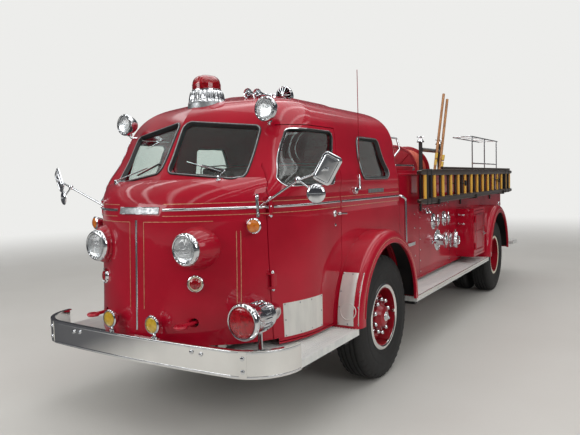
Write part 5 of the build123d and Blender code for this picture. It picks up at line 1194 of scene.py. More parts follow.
# Spot lamps on the screen pillars
spot = {"place": (0.700, -3.285, 2.205),
        "shell": ((0, -0.132), (0.012, -0.131), (0.030, -0.124), (0.048, -0.108), (0.063, -0.086),
                  (0.074, -0.058), (0.082, -0.034), (0.084, -0.026)),
        "rim": ((0.083, -0.030), (0.088, -0.026), (0.0885, -0.012), (0.084, -0.002), (0.076, 0.001),
                (0.071, -0.002), (0.071, -0.014), (0.083, -0.030)),
        "reflector": ((0.068, -0.014), (0.050, -0.040), (0.024, -0.056), (0, -0.060)),
        "glass": ((0.072, -0.008), (0.062, -0.001), (0.038, 0.006), (0, 0.010)),
        "arm": ((0.700, -3.225, 2.143), (0.696, -3.223, 2.099), (0.655, -3.135, 2.097)), "armSize": 0.009,
        "collar": ((0.020, -0.008), (0.020, 0.010), (0.013, 0.016), (0.010, 0.020)),
        "collarPlace": (0.700, -3.225, 2.123)}
spotShell = [lathe(spot[key], spot["place"], forward, steps) for key,
             steps in (("shell", 44), ("rim", 48), ("reflector", 36))]
spotShell += [tubeAlong(bentRun(spot["arm"], 0.018), spot["armSize"], 12),
              lathe(spot["collar"], spot["collarPlace"], upward, 20)]
addPiece("spotLampShells", bothSides(spotShell), "chromePlate", replaces=("spotlights",))
addPiece("spotLampLenses", bothSides([ribbedGlass(spot["glass"], spot["place"], forward, 56, 0.0008, 11)]),
         "clearLens", replaces=("spotlights",))

# Mirrors: a bent arm from the pillar bracket, an oblong mirror with a bead on its back, and a round one
mirror = {"knee": (1.100, -3.523, 1.706), "centre": (1.290, -3.490, 1.770), "round": (1.220, -3.517, 1.620),
          "foot": (0.770, -3.460, 1.545), "half": Vector((0.062, 0.096)), "corner": 0.026,
          "leastCorner": 0.002, "turns": ((20, "Z"), (6, "X"), (30, "Y"), (90, "X")),
          "back": ((0.0, -0.004), (0.0, 0.002), (-0.002, 0.007), (-0.010, 0.0105), (-0.030, 0.012),
                   (-0.058, 0.012)),
          "glassGrow": -0.006, "glass": (-0.0055, -0.0035), "bead": (-0.016, 0.0112, 0.016),
          "beadSize": 0.0032, "kneeCap": ((0.0, -0.018), (0.013, -0.018), (0.017, -0.012), (0.018, 0.0),
                                          (0.017, 0.012), (0.013, 0.018),
                      (0.006, 0.021), (0.0, 0.021)),
          "boss": ((0.0, -0.016), (0.010, -0.014), (0.013, -0.006), (0.013, 0.006), (0.010, 0.014),
                   (0.0, 0.016)),
          "roundBack": ((0, 0.012), (0.024, 0.011), (0.044, 0.007), (0.056, 0.001), (0.060, -0.005),
                        (0.060, -0.009), (0.056, -0.010)),
          "roundGlass": ((0.0565, -0.0095), (0.030, -0.012), (0, -0.013))}
mirrorTurn = Matrix.Identity(3)
for degrees, axis in mirror["turns"]:
    mirrorTurn = mirrorTurn @ Matrix.Rotation(math.radians(degrees), 3, axis)
mirrorRight, mirrorUp, mirrorOut = mirrorTurn.col


def mirrorRing(grow, level, corner):  # a rounded oblong across the mirror's own Z
    half = mirror["half"] + Vector((grow, grow))
    return [Vector(mirror["centre"]) + mirrorRight * x + mirrorUp * y + mirrorOut * level
            for x, y in roundedCorners(oblong(-half, half), corner)]


def backRing(grow, level):
    return mirrorRing(grow, level, max(mirror["leastCorner"], mirror["corner"] + grow))


knee, mirrorCentre, roundCentre = (Vector(mirror[key]) for key in ("knee", "centre", "round"))
roundAim = Matrix.Rotation(math.radians(20), 3, "Z") @ forward
mirrorArms = [tubeAlong([mirror["foot"], knee], 0.009, 14),
              tubeAlong([knee, mirrorCentre + mirrorOut * 0.012], 0.0075),
              tubeAlong([knee, roundCentre + backward * 0.006], 0.006),
              lathe(mirror["kneeCap"], knee, upward, 24),
              lathe(mirror["boss"], mirrorCentre + mirrorOut * 0.014, mirrorOut, 20)]
mirrorShells = [loft([backRing(*layer) for layer in mirror["back"]]),
                tubeAlong(mirrorRing(*mirror["bead"]), mirror["beadSize"], 8, True),
                lathe(mirror["roundBack"], roundCentre, roundAim, 44)]
mirrorGlasses = [loft([backRing(mirror["glassGrow"], level) for level in mirror["glass"]]),
                 lathe(mirror["roundGlass"], roundCentre, roundAim)]
addPiece("mirrorArms", bothSides(mirrorArms), "chromePlate", replaces=("mirrors",))
addPiece("mirrorShells", bothSides(mirrorShells), "chromePlate", replaces=("mirrors",))
addPiece("mirrorGlasses", bothSides(mirrorGlasses), "mirrorGlass", replaces=("mirrors",))

# Whip aerial with its spring foot, and the filler knob below it
whip = {"place": (0.948, -2.305, 1.618), "foot": (0.948, -2.305, 1.738), "tip": (0.942, -2.291, 2.588),
        "sizes": (0.0036, 0.0030), "neck": ((0.925, -2.305, 1.630), (0.948, -2.305, 1.630)),
        "neckSize": 0.014, "base": ((0.016, 0.0), (0.016, 0.024), (0.012, 0.030), (0.012, 0.036)),
        "cap": ((0.010, 0.098), (0.009, 0.104), (0.005, 0.124), (0, 0.126)),
        "knobPlace": (0.925, -2.380, 1.612), "knob": ((0.030, 0.0), (0.030, 0.008), (0.026, 0.012),
                                                      (0.028, 0.016), (0.030, 0.026), (0.026, 0.036),
                 (0.014, 0.041), (0, 0.042))}
spring = [(0.0121 if turn % 2 == 0 else 0.0089, 0.034 + 0.0035 * turn) for turn in range(20)]
aerialFoot = [lathe(whip["base"], whip["place"], upward, 24), lathe(spring, whip["place"], upward, 20),
              lathe(whip["cap"], whip["place"], upward, 20), tubeAlong(whip["neck"], whip["neckSize"], 18),
              lathe(whip["knob"], whip["knobPlace"], leftward, 36, flutes=12, depth=0.06)]
addPiece("aerialFoot", aerialFoot, "chromePlate", replaces=("aerial",))
addPiece("aerialWhip", [tubeAlong([whip["foot"], whip["tip"]], whip["sizes"], 10)], "wheelEnamel",
         replaces=("aerial",))
print("lamps, roof signals, mirrors and aerial made")


# Tyres: carcass with grooves, cross bars wrapped over the shoulders and fine rings on the wall
tyre = {"profile": ((0.254, -0.098), (0.281, -0.100), (0.283, -0.112), (0.297, -0.122), (0.312, -0.126),
                    (0.318, -0.1245), (0.324, -0.1265), (0.345, -0.130), (0.372, -0.1335), (0.384, -0.1345),
                    (0.398, -0.1340), (0.402, -0.1325), (0.406, -0.1335), (0.432, -0.1305), (0.455, -0.127),
                    (0.466, -0.124), (0.478, -0.119), (0.492, -0.113), (0.504, -0.107), (0.511, -0.100),
                    (0.518, -0.088), (0.521, -0.080), (0.5215, -0.067), (0.512, -0.063), (0.512, -0.056),
                    (0.5235, -0.052), (0.5250, -0.030), (0.514, -0.026), (0.514, -0.019), (0.5262, -0.015),
                    (0.5265, 0.0)),
        # the first point, those at the top of the bar, which is narrower there, and the foot of it
        "barStart": ((0.472, 0.1195),),
        "barTop": ((0.492, 0.1165), (0.507, 0.109), (0.5145, 0.1005), (0.5205, 0.090), (0.5225, 0.078),
                   (0.5215, 0.068)),
        "barFoot": ((0.512, 0.066), (0.505, 0.090), (0.494, 0.104), (0.470, 0.112)),
        "bars": 44, "barHalf": 0.0105, "barTopHalf": 0.0083, "barRadius": 0.51, "outerX": 0.935,
        "innerX": 0.617}


def shoulderBar(place, turn, side):
    rings = []
    for way in (-1, 1):
        ring = []
        for key, half in (("barStart", "barHalf"), ("barTop", "barTopHalf"), ("barFoot", "barHalf")):
            bend = turn + way * tyre[half] / tyre["barRadius"]
            ring += [place + acrossX(bend, radius) + leftward * (reach * side) for radius, reach in tyre[key]]
        rings.append(ring)
    return loft(rings)


def tyreSolids(x, axleY):
    place, half = Vector((x, axleY, axleZ)), list(tyre["profile"])
    whole = half + [(radius, -reach) for radius, reach in reversed(half[:-1])] + half[:1]
    bars = [shoulderBar(place, turn, side) for side, first in ((-1, 0.5), (1, 0.0))
            for turn in around(tyre["bars"], first)]
    return [lathe(whole, place, leftward, 120), *bars]


# Wheels: domed caps over the nuts, hub cap with its nuts, bright or ivory lock ring, valve
wheelTrim = {"caps": 10, "capCircle": 0.143, "nuts": 8, "nutCircle": 0.066, "nutBack": 0.050, "ringX": 1.047,
             "cap": ((0.024, -0.002), (0.024, 0.006), (0.0215, 0.009), (0.0205, 0.028), (0.019, 0.040),
                     (0.015, 0.049), (0.008, 0.0535), (0, 0.0545)),
             "hub": ((0.044, -0.030), (0.044, -0.004), (0.040, 0.000), (0.026, 0.002), (0.024, 0.006),
                     (0.0, 0.007)),
             "nut": ((0.0075, -0.004), (0.0075, 0.004), (0.0, 0.005)),
             "frontRing": ((0.240, -0.022), (0.241, -0.006), (0.248, 0.003), (0.262, 0.009), (0.276, 0.007),
                           (0.286, -0.001), (0.286, -0.014), (0.240, -0.022)),
             "rearRing": ((0.250, -0.012), (0.252, 0.000), (0.262, 0.004), (0.278, 0.003), (0.283, -0.002),
                          (0.284, -0.014), (0.250, -0.012)),
             "valve": ((1.000, -1.844, 0.527), (1.030, -1.844, 0.527), (1.050, -1.858, 0.527)),
             "valveSize": 0.004}


def nutCaps(axleY, faceX, hubX):
    face, hub = Vector((faceX, axleY, axleZ)), Vector((hubX, axleY, axleZ))
    caps = [lathe(wheelTrim["cap"], face + acrossX(turn, wheelTrim["capCircle"]), leftward, 14)
            for turn in around(wheelTrim["caps"], 0.5)]
    nuts = [lathe(wheelTrim["nut"],
                  hub + acrossX(turn, wheelTrim["nutCircle"]) - leftward * wheelTrim["nutBack"], leftward, 6)
            for turn in around(wheelTrim["nuts"])]
    return [*caps, lathe(wheelTrim["hub"], hub, leftward, 28), *nuts]


def lockRing(key, axleY):
    return lathe(wheelTrim[key], (wheelTrim["ringX"], axleY, axleZ), leftward, 96)


rearTyres = [solid for x in (tyre["outerX"], tyre["innerX"]) for solid in tyreSolids(x, rearAxleY)]
frontRing = [lockRing("frontRing", frontAxleY),
             tubeAlong(bentRun(wheelTrim["valve"], 0.012), wheelTrim["valveSize"], 8)]
frontBody, rearBody = "front_wheel_%s_body", "rear_wheels_%s_body"
addPair("frontTyreCarcass", tyreSolids(tyre["outerX"], frontAxleY), "tyreRubber", frontBody,
        replaced="front_tyre_%s")
addPair("rearTyreCarcasses", rearTyres, "tyreRubber", rearBody, replaced="rear_tyres_%s")
addPair("frontNutCaps", nutCaps(frontAxleY, 0.987, 1.069), "chromePlate", frontBody)
addPair("rearNutCaps", nutCaps(rearAxleY, 0.790, 0.981), "wheelEnamel", rearBody)
addPair("frontLockRing", frontRing, "polishedSteel", frontBody)
addPair("rearLockRing", [lockRing("rearRing", rearAxleY)], "ivoryEnamel", rearBody)

# Fender edges: rolled bead around the opening and a gold line beside it
fender = {"z": 0.600, "bead": 0.570, "line": 0.600, "from": math.radians(4), "to": math.radians(176),
          "steps": 56, "beadShape": halfRound(0.014, 0.006, 0.004), "lineShape": flatBand(0.0030, 0.0006)}


def fenderArc(axleY, part):
    hits = []
    for turn in spread(fender["from"], fender["to"], fender["steps"]):
        y, z = axleY + math.cos(turn) * fender[part], fender["z"] + math.sin(turn) * fender[part]
        hits.append(fromLeft(fenderSkin, y, z))
    return trim(settle(hits), fender[part + "Shape"])


for pieceName, part, finish in (("fenderBeads", "bead", "crimsonEnamel"),
                                ("fenderLines", "line", "goldLeaf")):
    arcs = [fenderArc(axleY, part) for axleY in (frontAxleY, rearAxleY)]
    addPiece(pieceName, bothSides(arcs), finish)

# Running boards, front steps and tailboard: lengthwise ribs and a bright edge strip
board = {"first": 0.758, "count": 16, "y": (-1.428, 1.486), "top": 0.578, "pitch": 0.0225, "half": 0.00425,
         "rise": 0.0032, "sink": 0.002, "round": 0.0015, "stepFirst": 0.580, "stepCount": 24,
         "stepY": (-4.0, -2.72), "looks": 128, "least": 12, "insets": (0.012, -0.006),
         "edge": ((1.105, -1.432, 0.548), (1.1145, 1.490, 0.5825))}
tail = {"x": (-1.030, 1.030), "first": 3.576, "pitch": 0.024, "count": 15, "half": 0.005, "rise": 0.0034}


def boardRib(x, front, rear):
    return slab((x - board["half"], front, board["top"] - board["sink"]),
                (x + board["half"], rear, board["top"] + board["rise"]), board["round"])


def stepLength(x):  # where the front step lies flat under one rib
    flat = []
    for y in spread(*board["stepY"], board["looks"]):
        hit = onSkin(stepSkin, (x, y, 0.9), -upward)
        if hit and abs(hit[0].z - board["top"]) < 0.002:
            flat.append(y)
    return flat


boardRibs = [boardRib(board["first"] + index * board["pitch"], *board["y"])
             for index in range(board["count"])]
for index in range(board["stepCount"]):
    x = board["stepFirst"] + index * board["pitch"]
    flat = stepLength(x)
    if len(flat) > board["least"]:
        boardRibs.append(boardRib(x, flat[0] + board["insets"][0], flat[-1] + board["insets"][1]))
tailRibs = []
for index in range(tail["count"]):
    y = tail["first"] + index * tail["pitch"]
    tailRibs.append(slab((tail["x"][0], y - tail["half"], board["top"] - board["sink"]),
                         (tail["x"][1], y + tail["half"], board["top"] + tail["rise"]), board["round"]))
addPiece("boardRibs", bothSides(boardRibs), "boardAluminium")
addPiece("boardEdges", bothSides([slab(*board["edge"])]), "polishedSteel")
addPiece("tailboardRibs", tailRibs, "boardAluminium")
print("tyres, wheel dressing, fender edges and boards made")

# Ladders on their sides: dark rails with tapered horns, varnished oval rungs, end irons and clamp knobs
ladder = {"outer": (1.052, -1.130, 3.400), "inner": (0.985, -0.990, 3.480),
          "rails": ((1.430, 1.492), (1.723, 1.785)), "rungs": 15, "rungFoot": 1.486, "rungTop": 1.729,
          "rungHalf": (0.0160, 0.0260), "swell": 0.05, "width": 0.034,
          "tips": ((0.0, 0.42), (0.012, 0.60), (0.060, 0.74), (0.160, 0.92), (0.240, 1.0)), "corner": 0.16,
          "irons": (0.190, 0.315, -0.520, -0.290), "ironHalf": 0.019, "ironZ": (1.428, 1.787),
          "knobs": ((0.410, 1.621), (2.288, 1.636)), "knobStem": (0.862, 1.100), "knobX": 1.092,
          "stemSize": 0.008, "knob": ((0.012, -0.012), (0.034, -0.010), (0.036, 0.0), (0.034, 0.010),
                                      (0.014, 0.013), (0, 0.014)),
          "pole": ((1.018, -0.300, 1.802), (1.018, 3.430, 1.802)), "poleSize": 0.0145}


def railSolid(x, front, rear, low, high):  # tapered at both ends to a rounded horn
    runs = [(front + reach, size) for reach, size in ladder["tips"]]
    runs += [(rear - reach, size) for reach, size in reversed(ladder["tips"])]
    outline = roundedCorners(oblong((-0.5, -0.5), (0.5, 0.5)), ladder["corner"], 0.0, 3)
    middle, rings = (low + high) / 2, []
    for y, size in runs:
        width = ladder["width"] * (0.55 + 0.45 * size)
        rings.append([(x + across * width, y, middle + up * (high - low) * size) for across, up in outline])
    return loft(rings)


def rungSolid(x, y):  # oval, swelling a little at mid height
    rings = []
    for share in spread(0.0, 1.0, 6):
        swell = 1 + ladder["swell"] * math.sin(math.pi * share)
        wide, long = (half * swell for half in ladder["rungHalf"])
        z = ladder["rungFoot"] + (ladder["rungTop"] - ladder["rungFoot"]) * share
        rings.append([(x + math.cos(turn) * wide, y + math.sin(turn) * long, z) for turn in around(16)])
    return loft(rings)


def rungsOf(key):
    x, front, rear = ladder[key]
    return [rungSolid(x, front + (rear - front) * (index + 0.5) / ladder["rungs"])
            for index in range(ladder["rungs"])]


# the inner ladder's rungs take the rails' dark paint: painted shade, so they read as dark gaps between the
# outer rungs
railsAndShadeRungs, ladderIron = rungsOf("inner"), []
for x, front, rear in (ladder["outer"], ladder["inner"]):
    railsAndShadeRungs += [railSolid(x, front, rear, low, high) for low, high in ladder["rails"]]
    for reach in ladder["irons"]:
        y, half = (front if reach > 0 else rear) + reach, ladder["ironHalf"]
        ladderIron.append(slab((x - half, y - half, ladder["ironZ"][0]),
                               (x + half, y + half, ladder["ironZ"][1])))
for y, z in ladder["knobs"]:
    ladderIron.append(tubeAlong([(x, y, z) for x in ladder["knobStem"]], ladder["stemSize"], 10))
    ladderIron.append(lathe(ladder["knob"], (ladder["knobX"], y, z), leftward, flutes=5, depth=0.55))
addPiece("ladderRails", railsAndShadeRungs, "paintedAsh", replaces=("ladders",))
addPiece("ladderRungs", rungsOf("outer"), "varnishedAsh", replaces=("ladders",))
addPiece("ladderIrons", ladderIron, "chassisPaint")
addPiece("ladderTopPole", [tubeAlong(ladder["pole"], ladder["poleSize"], 14)], "paintedAsh")

# Hard suction hoses on the right: wire-ribbed, with lugged couplings
suction = {"x": -0.960, "z": (1.500, 1.690), "ends": ((-0.830, 1), (2.620, -1)), "ribbed": (-0.700, 2.490),
           "pitch": 0.027, "groove": 0.0655, "rib": 0.070, "endSize": 0.066, "grooveShare": 0.32,
           "coupling": ((0, 0.0), (0.074, 0.0), (0.080, 0.006), (0.083, 0.014), (0.083, 0.050),
                        (0.078, 0.056), (0.076, 0.070), (0.080, 0.076), (0.080, 0.100), (0.072, 0.112),
                        (0.070, 0.130), (0, 0.132)),
           "lugReach": 0.032, "lug": (0.076, 0.0935), "lugSizes": (0.011, 0.008)}


def suctionHose(z):
    first, last = suction["ribbed"]
    profile = [(0.0, first - 0.020)]
    for reach in spread(first, last, int((last - first) / suction["pitch"])):
        profile += [(suction["groove"], reach - suction["pitch"] * suction["grooveShare"]),
                    (suction["rib"], reach)]
    profile += [(suction["endSize"], last + 0.010), (0.0, last + 0.020)]
    return lathe(profile, (suction["x"], 0, z), backward, 32)


def couplingAt(z, y, way):
    place = Vector((suction["x"], y, z))
    middle = place + backward * way * suction["lugReach"]
    return [lathe(suction["coupling"], place, backward * way, 44)] + [
        tubeAlong([middle + acrossY(turn, reach) for reach in suction["lug"]], suction["lugSizes"], 10)
        for turn in around(3, 0.25)]


couplings = [solid for z in suction["z"] for end in suction["ends"] for solid in couplingAt(z, *end)]
addPiece("suctionHoseBodies", [suctionHose(z) for z in suction["z"]], "suctionRubber",
         replaces=("suction_hoses",), crease=50)
addPiece("suctionCouplings", couplings, "chromePlate", replaces=("suction_hoses",))

# Pump panel: ringed outlets with chained caps, a valve, the lugged suction cap and two hooded lamps.
# A port is its y, z, ring, radius and reach; a stud is bent from its place, in (out, back, up) steps
panel = {"face": 0.860, "ports": ((-0.145, 1.194, 0.092, 0.045, 0.070), (0.273, 1.200, 0.092, 0.045, 0.070),
                                  (-0.001, 0.965, 0.125, 0.058, 0.120)),
         "suction": (0.575, 0.906, 0.092, 0.095), "valve": (-0.185, 0.955),
         "lamps": ((-0.486, 1.322), (-0.380, 1.318)),
         "screw": ((0.0062, -0.002), (0.0062, 0.002), (0.004, 0.005), (0, 0.006)), "screws": 8,
         "screwTurn": 0.3, "lugTurns": (math.radians(82), math.radians(262)), "capTurn": math.radians(95),
         "stem": ((0, 0, 0), (0.062, 0, 0)), "lever": ((0.058, 0, -0.004), (0.066, -0.070, 0.006)),
         "knob": ((0, -0.014), (0.012, -0.010), (0.015, 0.0), (0.012, 0.010), (0, 0.014)),
         "knobPlace": (0.066, -0.078, 0.007), "valveFoot": ((0.022, -0.002), (0.022, 0.005), (0.012, 0.010),
                                                            (0.010, 0.016)),
         "lampArm": ((0, 0, 0.030), (0.034, 0, 0.030), (0.040, 0, 0.008)), "lampPlace": (0.040, 0, -0.014),
         "lamp": ((0, 0.030), (0.014, 0.028), (0.022, 0.018), (0.026, 0.002), (0.026, -0.002),
                  (0.023, 0.000))}


def lugAt(place, turn, inner, outer, width, thick):  # a cast ear standing off a cap's rim
    run = [place + acrossX(turn, radius) for radius in (inner, (inner + outer) / 2, outer)]
    return tubeAlong(run, (width, width * 0.8, thick), 10)


def outletPort(y, z, ring, radius, reach):
    place = Vector((panel["face"], y, z))
    profile = ((0, -0.004), (ring, -0.004), (ring, 0.006), (ring - 0.004, 0.010), (ring - 0.018, 0.012),
               (ring - 0.022, 0.008), (radius + 0.012, 0.008), (radius + 0.008, 0.014),
               (radius + 0.005, reach - 0.040), (radius + 0.004, reach - 0.034),
               (radius - 0.002, reach - 0.032), (radius - 0.002, reach - 0.027),
               (radius + 0.002, reach - 0.026), (radius + 0.004, reach - 0.022),
               (radius + 0.004, reach - 0.008), (radius, reach - 0.003), (radius - 0.012, reach),
               (radius - 0.016, reach - 0.004), (0.012, reach - 0.003), (0.010, reach), (0, reach))
    solids = [lathe(profile, place, leftward, 52)]
    for turn in around(panel["screws"]):
        screwPlace = place + leftward * 0.010 + acrossX(turn + panel["screwTurn"], ring - 0.010)
        solids.append(lathe(panel["screw"], screwPlace, leftward, 8))
    return solids + [lugAt(place + leftward * (reach - 0.016), turn, radius, radius + 0.036, 0.0085, 0.0065)
                     for turn in panel["lugTurns"]]


def suctionCap(y, z, radius, reach):
    place = Vector((panel["face"], y, z))
    foot = ((0, -0.004), (radius + 0.010, -0.004), (radius + 0.010, 0.008), (radius - 0.004, 0.016),
            (radius - 0.006, 0.034))
    grip = ((0, 0.030), (radius + 0.002, 0.030), (radius + 0.005, 0.036), (radius + 0.005, reach - 0.018),
            (radius, reach - 0.010))
    crown = ((radius - 0.002, reach - 0.014), (radius - 0.008, reach - 0.004), (radius * 0.62, reach),
             (radius * 0.58, reach - 0.006), (0.020, reach - 0.004), (0.016, reach), (0, reach))
    solids = [lathe(foot, place, leftward, 52), lathe(crown, place, leftward, 52),
              lathe(grip, place, leftward, 120, flutes=30, depth=0.05)]
    return solids + [lugAt(place + leftward * (reach - 0.040), panel["capTurn"] + turn, radius - 0.004,
                           radius + 0.042, 0.013, 0.009) for turn in around(3)]


def fromStud(key, y, z):
    return [Vector((panel["face"], y, z)) + Vector(step) for step in panel[key]]


pumpSolids = [solid for port in panel["ports"] for solid in outletPort(*port)] + suctionCap(*panel["suction"])
valvePlace = Vector((panel["face"], *panel["valve"]))
pumpSolids += [tubeAlong(fromStud("stem", *panel["valve"]), 0.008, 10),
               tubeAlong(fromStud("lever", *panel["valve"]), (0.008, 0.010), 10),
               lathe(panel["knob"], valvePlace + Vector(panel["knobPlace"]), (0, -1, 0.1), 16),
               lathe(panel["valveFoot"], valvePlace, leftward, 20)]
for lampSpot in panel["lamps"]:
    lampPlace = Vector((panel["face"], *lampSpot)) + Vector(panel["lampPlace"])
    pumpSolids += [tubeAlong(bentRun(fromStud("lampArm", *lampSpot), 0.014), 0.006, 10),
                   lathe(panel["lamp"], lampPlace, upward, 24)]
addPiece("pumpPorts", bothSides(pumpSolids), "chromePlate", replaces=("pump_fittings",))

# Body: open joints around the panel, two mouldings, and rows of screws. Lines are pairs of (y, z) places
flank = {"seams": (((-0.624, 0.640), (-0.624, 1.395)), ((0.496, 0.640), (0.496, 1.395)),
                   ((-0.624, 1.395), (0.496, 1.395)), ((-1.190, 0.640), (-1.190, 1.700))),
         "seam": flatBand(0.0045, 0.0005), "high": ((-1.235, 1.738), (3.525, 1.738)),
         "highShape": halfRound(0.024, 0.009), "low": ((-1.235, 0.628), (1.540, 0.628)),
         "lowShape": halfRound(0.018, 0.006), "screwRows": (((-0.594, 0.680), (-0.594, 1.388), 6),
                                                            ((0.466, 0.680), (0.466, 1.388), 6),
                       ((-0.484, 1.365), (0.356, 1.365), 6), ((-0.760, 0.720), (-0.760, 1.320), 4)),
         "screwSize": 1.4}
mouldings = [trim(leftRun(bodySkin, *flank["high"], 60), flank["highShape"]),
             trim(leftRun(bodySkin, *flank["low"], 40), flank["lowShape"])]
# the seams are near-black strips on the skin: painted shade of the open joints
addPiece("bodySeams",
         bothSides([trim(leftRun(bodySkin, *ends, 24), flank["seam"]) for ends in flank["seams"]]),
         "panelShadow")
addPiece("bodyMouldings", bothSides(mouldings), "crimsonEnamel")
panelScrews = [(Vector((panel["face"] * sign, y, z)), leftward * sign, upward)
               for sign in (1, -1) for row in flank["screwRows"] for y, z in spread(*row)]
stamp("panelScrews", panelScrews, screwHead, "chromePlate", size=flank["screwSize"])

# Side boxes: door panels with two raised borders, a latch, and two pulls on the front face
box = {"borders": (((0.891, 0.746), (1.309, 1.204)), ((0.891, 0.985), (1.309, 1.204))), "corner": 0.012,
       "spacing": 0.05, "border": halfRound(0.010, 0.0030), "faceX": 1.0945,
       "latch": ((0, -0.002), (0.022, -0.002), (0.022, 0.004), (0.016, 0.008), (0.010, 0.020), (0, 0.020)),
       "latchPlace": (1.0945, 1.304, 0.930), "lever": ((1.1125, 1.274, 0.930), (1.1125, 1.334, 0.930)),
       "leverSizes": (0.006, 0.0075), "pulls": (1.205, 1.088), "pullX": (0.890, 0.958), "pullY": 0.810,
       "pullOut": 0.786, "pullSize": 0.0055, "pullFoot": ((0.012, -0.002), (0.012, 0.003), (0.007, 0.006))}


def boxBorder(low, high):
    outline = evenly(roundedCorners(oblong(low, high), box["corner"]), box["spacing"])
    return trim([(Vector((box["faceX"], y, z)), leftward) for y, z in outline], box["border"], closed=True)


boxPulls = []
for z in box["pulls"]:
    first, last = box["pullX"]
    loop = [(first, box["pullY"], z), (first, box["pullOut"], z), (last, box["pullOut"], z),
            (last, box["pullY"], z)]
    boxPulls.append(tubeAlong(bentRun(loop, 0.010), box["pullSize"], 10))
    boxPulls += [lathe(box["pullFoot"], (x, box["pullY"], z), forward, 14) for x in box["pullX"]]
boxLatch = [lathe(box["latch"], box["latchPlace"], leftward, 28),
            tubeAlong(box["lever"], box["leverSizes"], 10)]
addPair("boxDoorBorder", [boxBorder(*border) for border in box["borders"]], "crimsonEnamel",
        "box_door_%s_body")
addPair("boxDoorLatch", boxLatch, "chromePlate", "box_door_%s_body")
addPiece("boxPulls", bothSides(boxPulls), "chromePlate")

# Hose reel: the wound hose shows each turn
reel = {"z": 1.800, "wound": (0.806, 1.284), "core": 0.112, "seat": 0.302, "rise": 0.014, "hose": 0.030,
        "parts": (-0.95, -0.6, -0.2, 0.2, 0.6, 0.95)}


def woundHose():
    first, last = reel["wound"]
    count = int((last - first) / reel["hose"])
    profile = [(reel["core"], first), (reel["seat"], first)]
    for index in range(count):
        middle = first + (last - first) * (index + 0.5) / count
        profile += [(reel["seat"] + math.sqrt(1 - part * part) * reel["rise"],
                     middle + part * (last - first) / count / 2) for part in reel["parts"]]
    profile += [(reel["seat"], last), (reel["core"], last), (reel["core"], first)]
    return lathe(profile, (0, 0, reel["z"]), backward, 88)


addPiece("woundHoseTurns", [woundHose()], "reelHoseRubber", "hose_reel_body", replaces=("wound_hose",),
         crease=60)

# Painted bands near the feet of the poles
poles = {"runs": (((0.545, 0.720, 1.290), (0.545, 1.390, 2.860)),
                  ((0.615, 0.720, 1.290), (0.643, 1.460, 2.790))),
         "bands": ((0.365, 0.410), (0.425, 0.470)), "size": 0.0190}
poleBands = [tubeAlong([Vector(foot).lerp(Vector(tip), share) for share in band], poles["size"], 20)
             for foot, tip in poles["runs"] for band in poles["bands"]]
addPiece("poleBands", poleBands, "bandPaint")

# Tail lamps, hose bed slats and the hatch in the rear of the body. The side lamps are smaller copies
rear = {"stop": (0.700, 3.540, 1.250), "side": (0.860, 3.360, 1.225), "sideSize": (0.8, 0.75),
        "rim": ((0, 0.0), (0.054, 0.0), (0.054, 0.012), (0.050, 0.022), (0.046, 0.026), (0.042, 0.022),
                (0.041, 0.014), (0, 0.012)),
        "glass": ((0.0415, 0.018), (0.038, 0.028), (0.026, 0.037), (0, 0.041)),
        "slat": ((0, 1.500, 1.288), (0.092, 3.470, 1.300)), "slats": 12, "slatFirst": (-0.800, 0, 0),
        "slatStep": (0.1370, 0, 0)}
# seams are pairs of (x, z) places; the handles are on the middle seam and the hinges on the outer ones
hatch = {"seams": (((-0.400, 0.680), (0.400, 0.680)), ((-0.400, 1.190), (0.400, 1.190)),
                   ((-0.400, 0.680), (-0.400, 1.190)), ((0.400, 0.680), (0.400, 1.190)),
                   ((0, 0.680), (0, 1.190))),
         "boss": ((0, 0.0), (0.020, 0.0), (0.020, 0.004), (0.010, 0.010), (0.009, 0.022), (0, 0.022)),
         "handleX": 0.060, "y": 3.540, "bossZ": 0.935, "handleY": 3.560, "handleZ": (0.905, 0.965),
         "handleSize": 0.0065, "hingeX": 0.400, "hingeY": 3.543, "hingeZ": ((0.736, 0.804), (1.066, 1.134)),
         "hingeSize": 0.0075}


def tailLamp(key):
    shape = rear[key]
    small = [(radius * rear["sideSize"][0], reach * rear["sideSize"][1]) for radius, reach in shape]
    return [lathe(shape, rear["stop"], backward, 36), lathe(small, rear["side"], leftward, 32)]


def rearRun(first, last):
    return settle([onSkin(bodySkin, (x, astern, z), forward) for x, z in spread(first, last, 12)])


def hatchRod(x, y, heights, size, sides):
    return tubeAlong([(x, y, z) for z in heights], size, sides)


addPiece("tailLampRims", bothSides(tailLamp("rim")), "chromePlate", replaces=("tail_lamps",))
addPiece("tailLampLenses", bothSides(tailLamp("glass")), "rubyLens", replaces=("tail_lamps",))
layRow("hoseBedSlats", [slab(*rear["slat"])], rear["slats"], rear["slatFirst"], rear["slatStep"], "oiledAsh")
hatchMetal = [lathe(hatch["boss"], (hatch["handleX"], hatch["y"], hatch["bossZ"]), backward, 24),
              hatchRod(hatch["handleX"], hatch["handleY"], hatch["handleZ"], hatch["handleSize"], 10)]
hatchMetal += [hatchRod(hatch["hingeX"], hatch["hingeY"], heights, hatch["hingeSize"], 12)
               for heights in hatch["hingeZ"]]
# the hatch seams are near-black strips on the skin: painted shade of the joints
addPiece("rearHatchSeams", [trim(rearRun(*ends), flank["seam"]) for ends in hatch["seams"]], "panelShadow")
addPiece("rearHatchMetal", bothSides(hatchMetal), "chromePlate")
print("body, ladders, hoses and rear made")

# Painted shade under the fenders: black linings where shadow falls inside the arches. Each run: skin, axle, x
# places, first turn in degrees
arches = {"z": 0.610, "step": 4, "reach": 0.75, "rise": 0.003, "sink": 0.001,
          "runs": ((fenderSkin, frontAxleY, (0.946, 1.030, 1.100, 1.112, 1.1185), -2),
                   (fenderSkin, rearAxleY, (0.866, 0.950, 1.030, 1.100, 1.112, 1.1185), -2),
                   (cabSkin, frontAxleY, (0.880, 0.905, 0.938), 2), (bodySkin, rearAxleY, (0.845, 0.858), 6))}


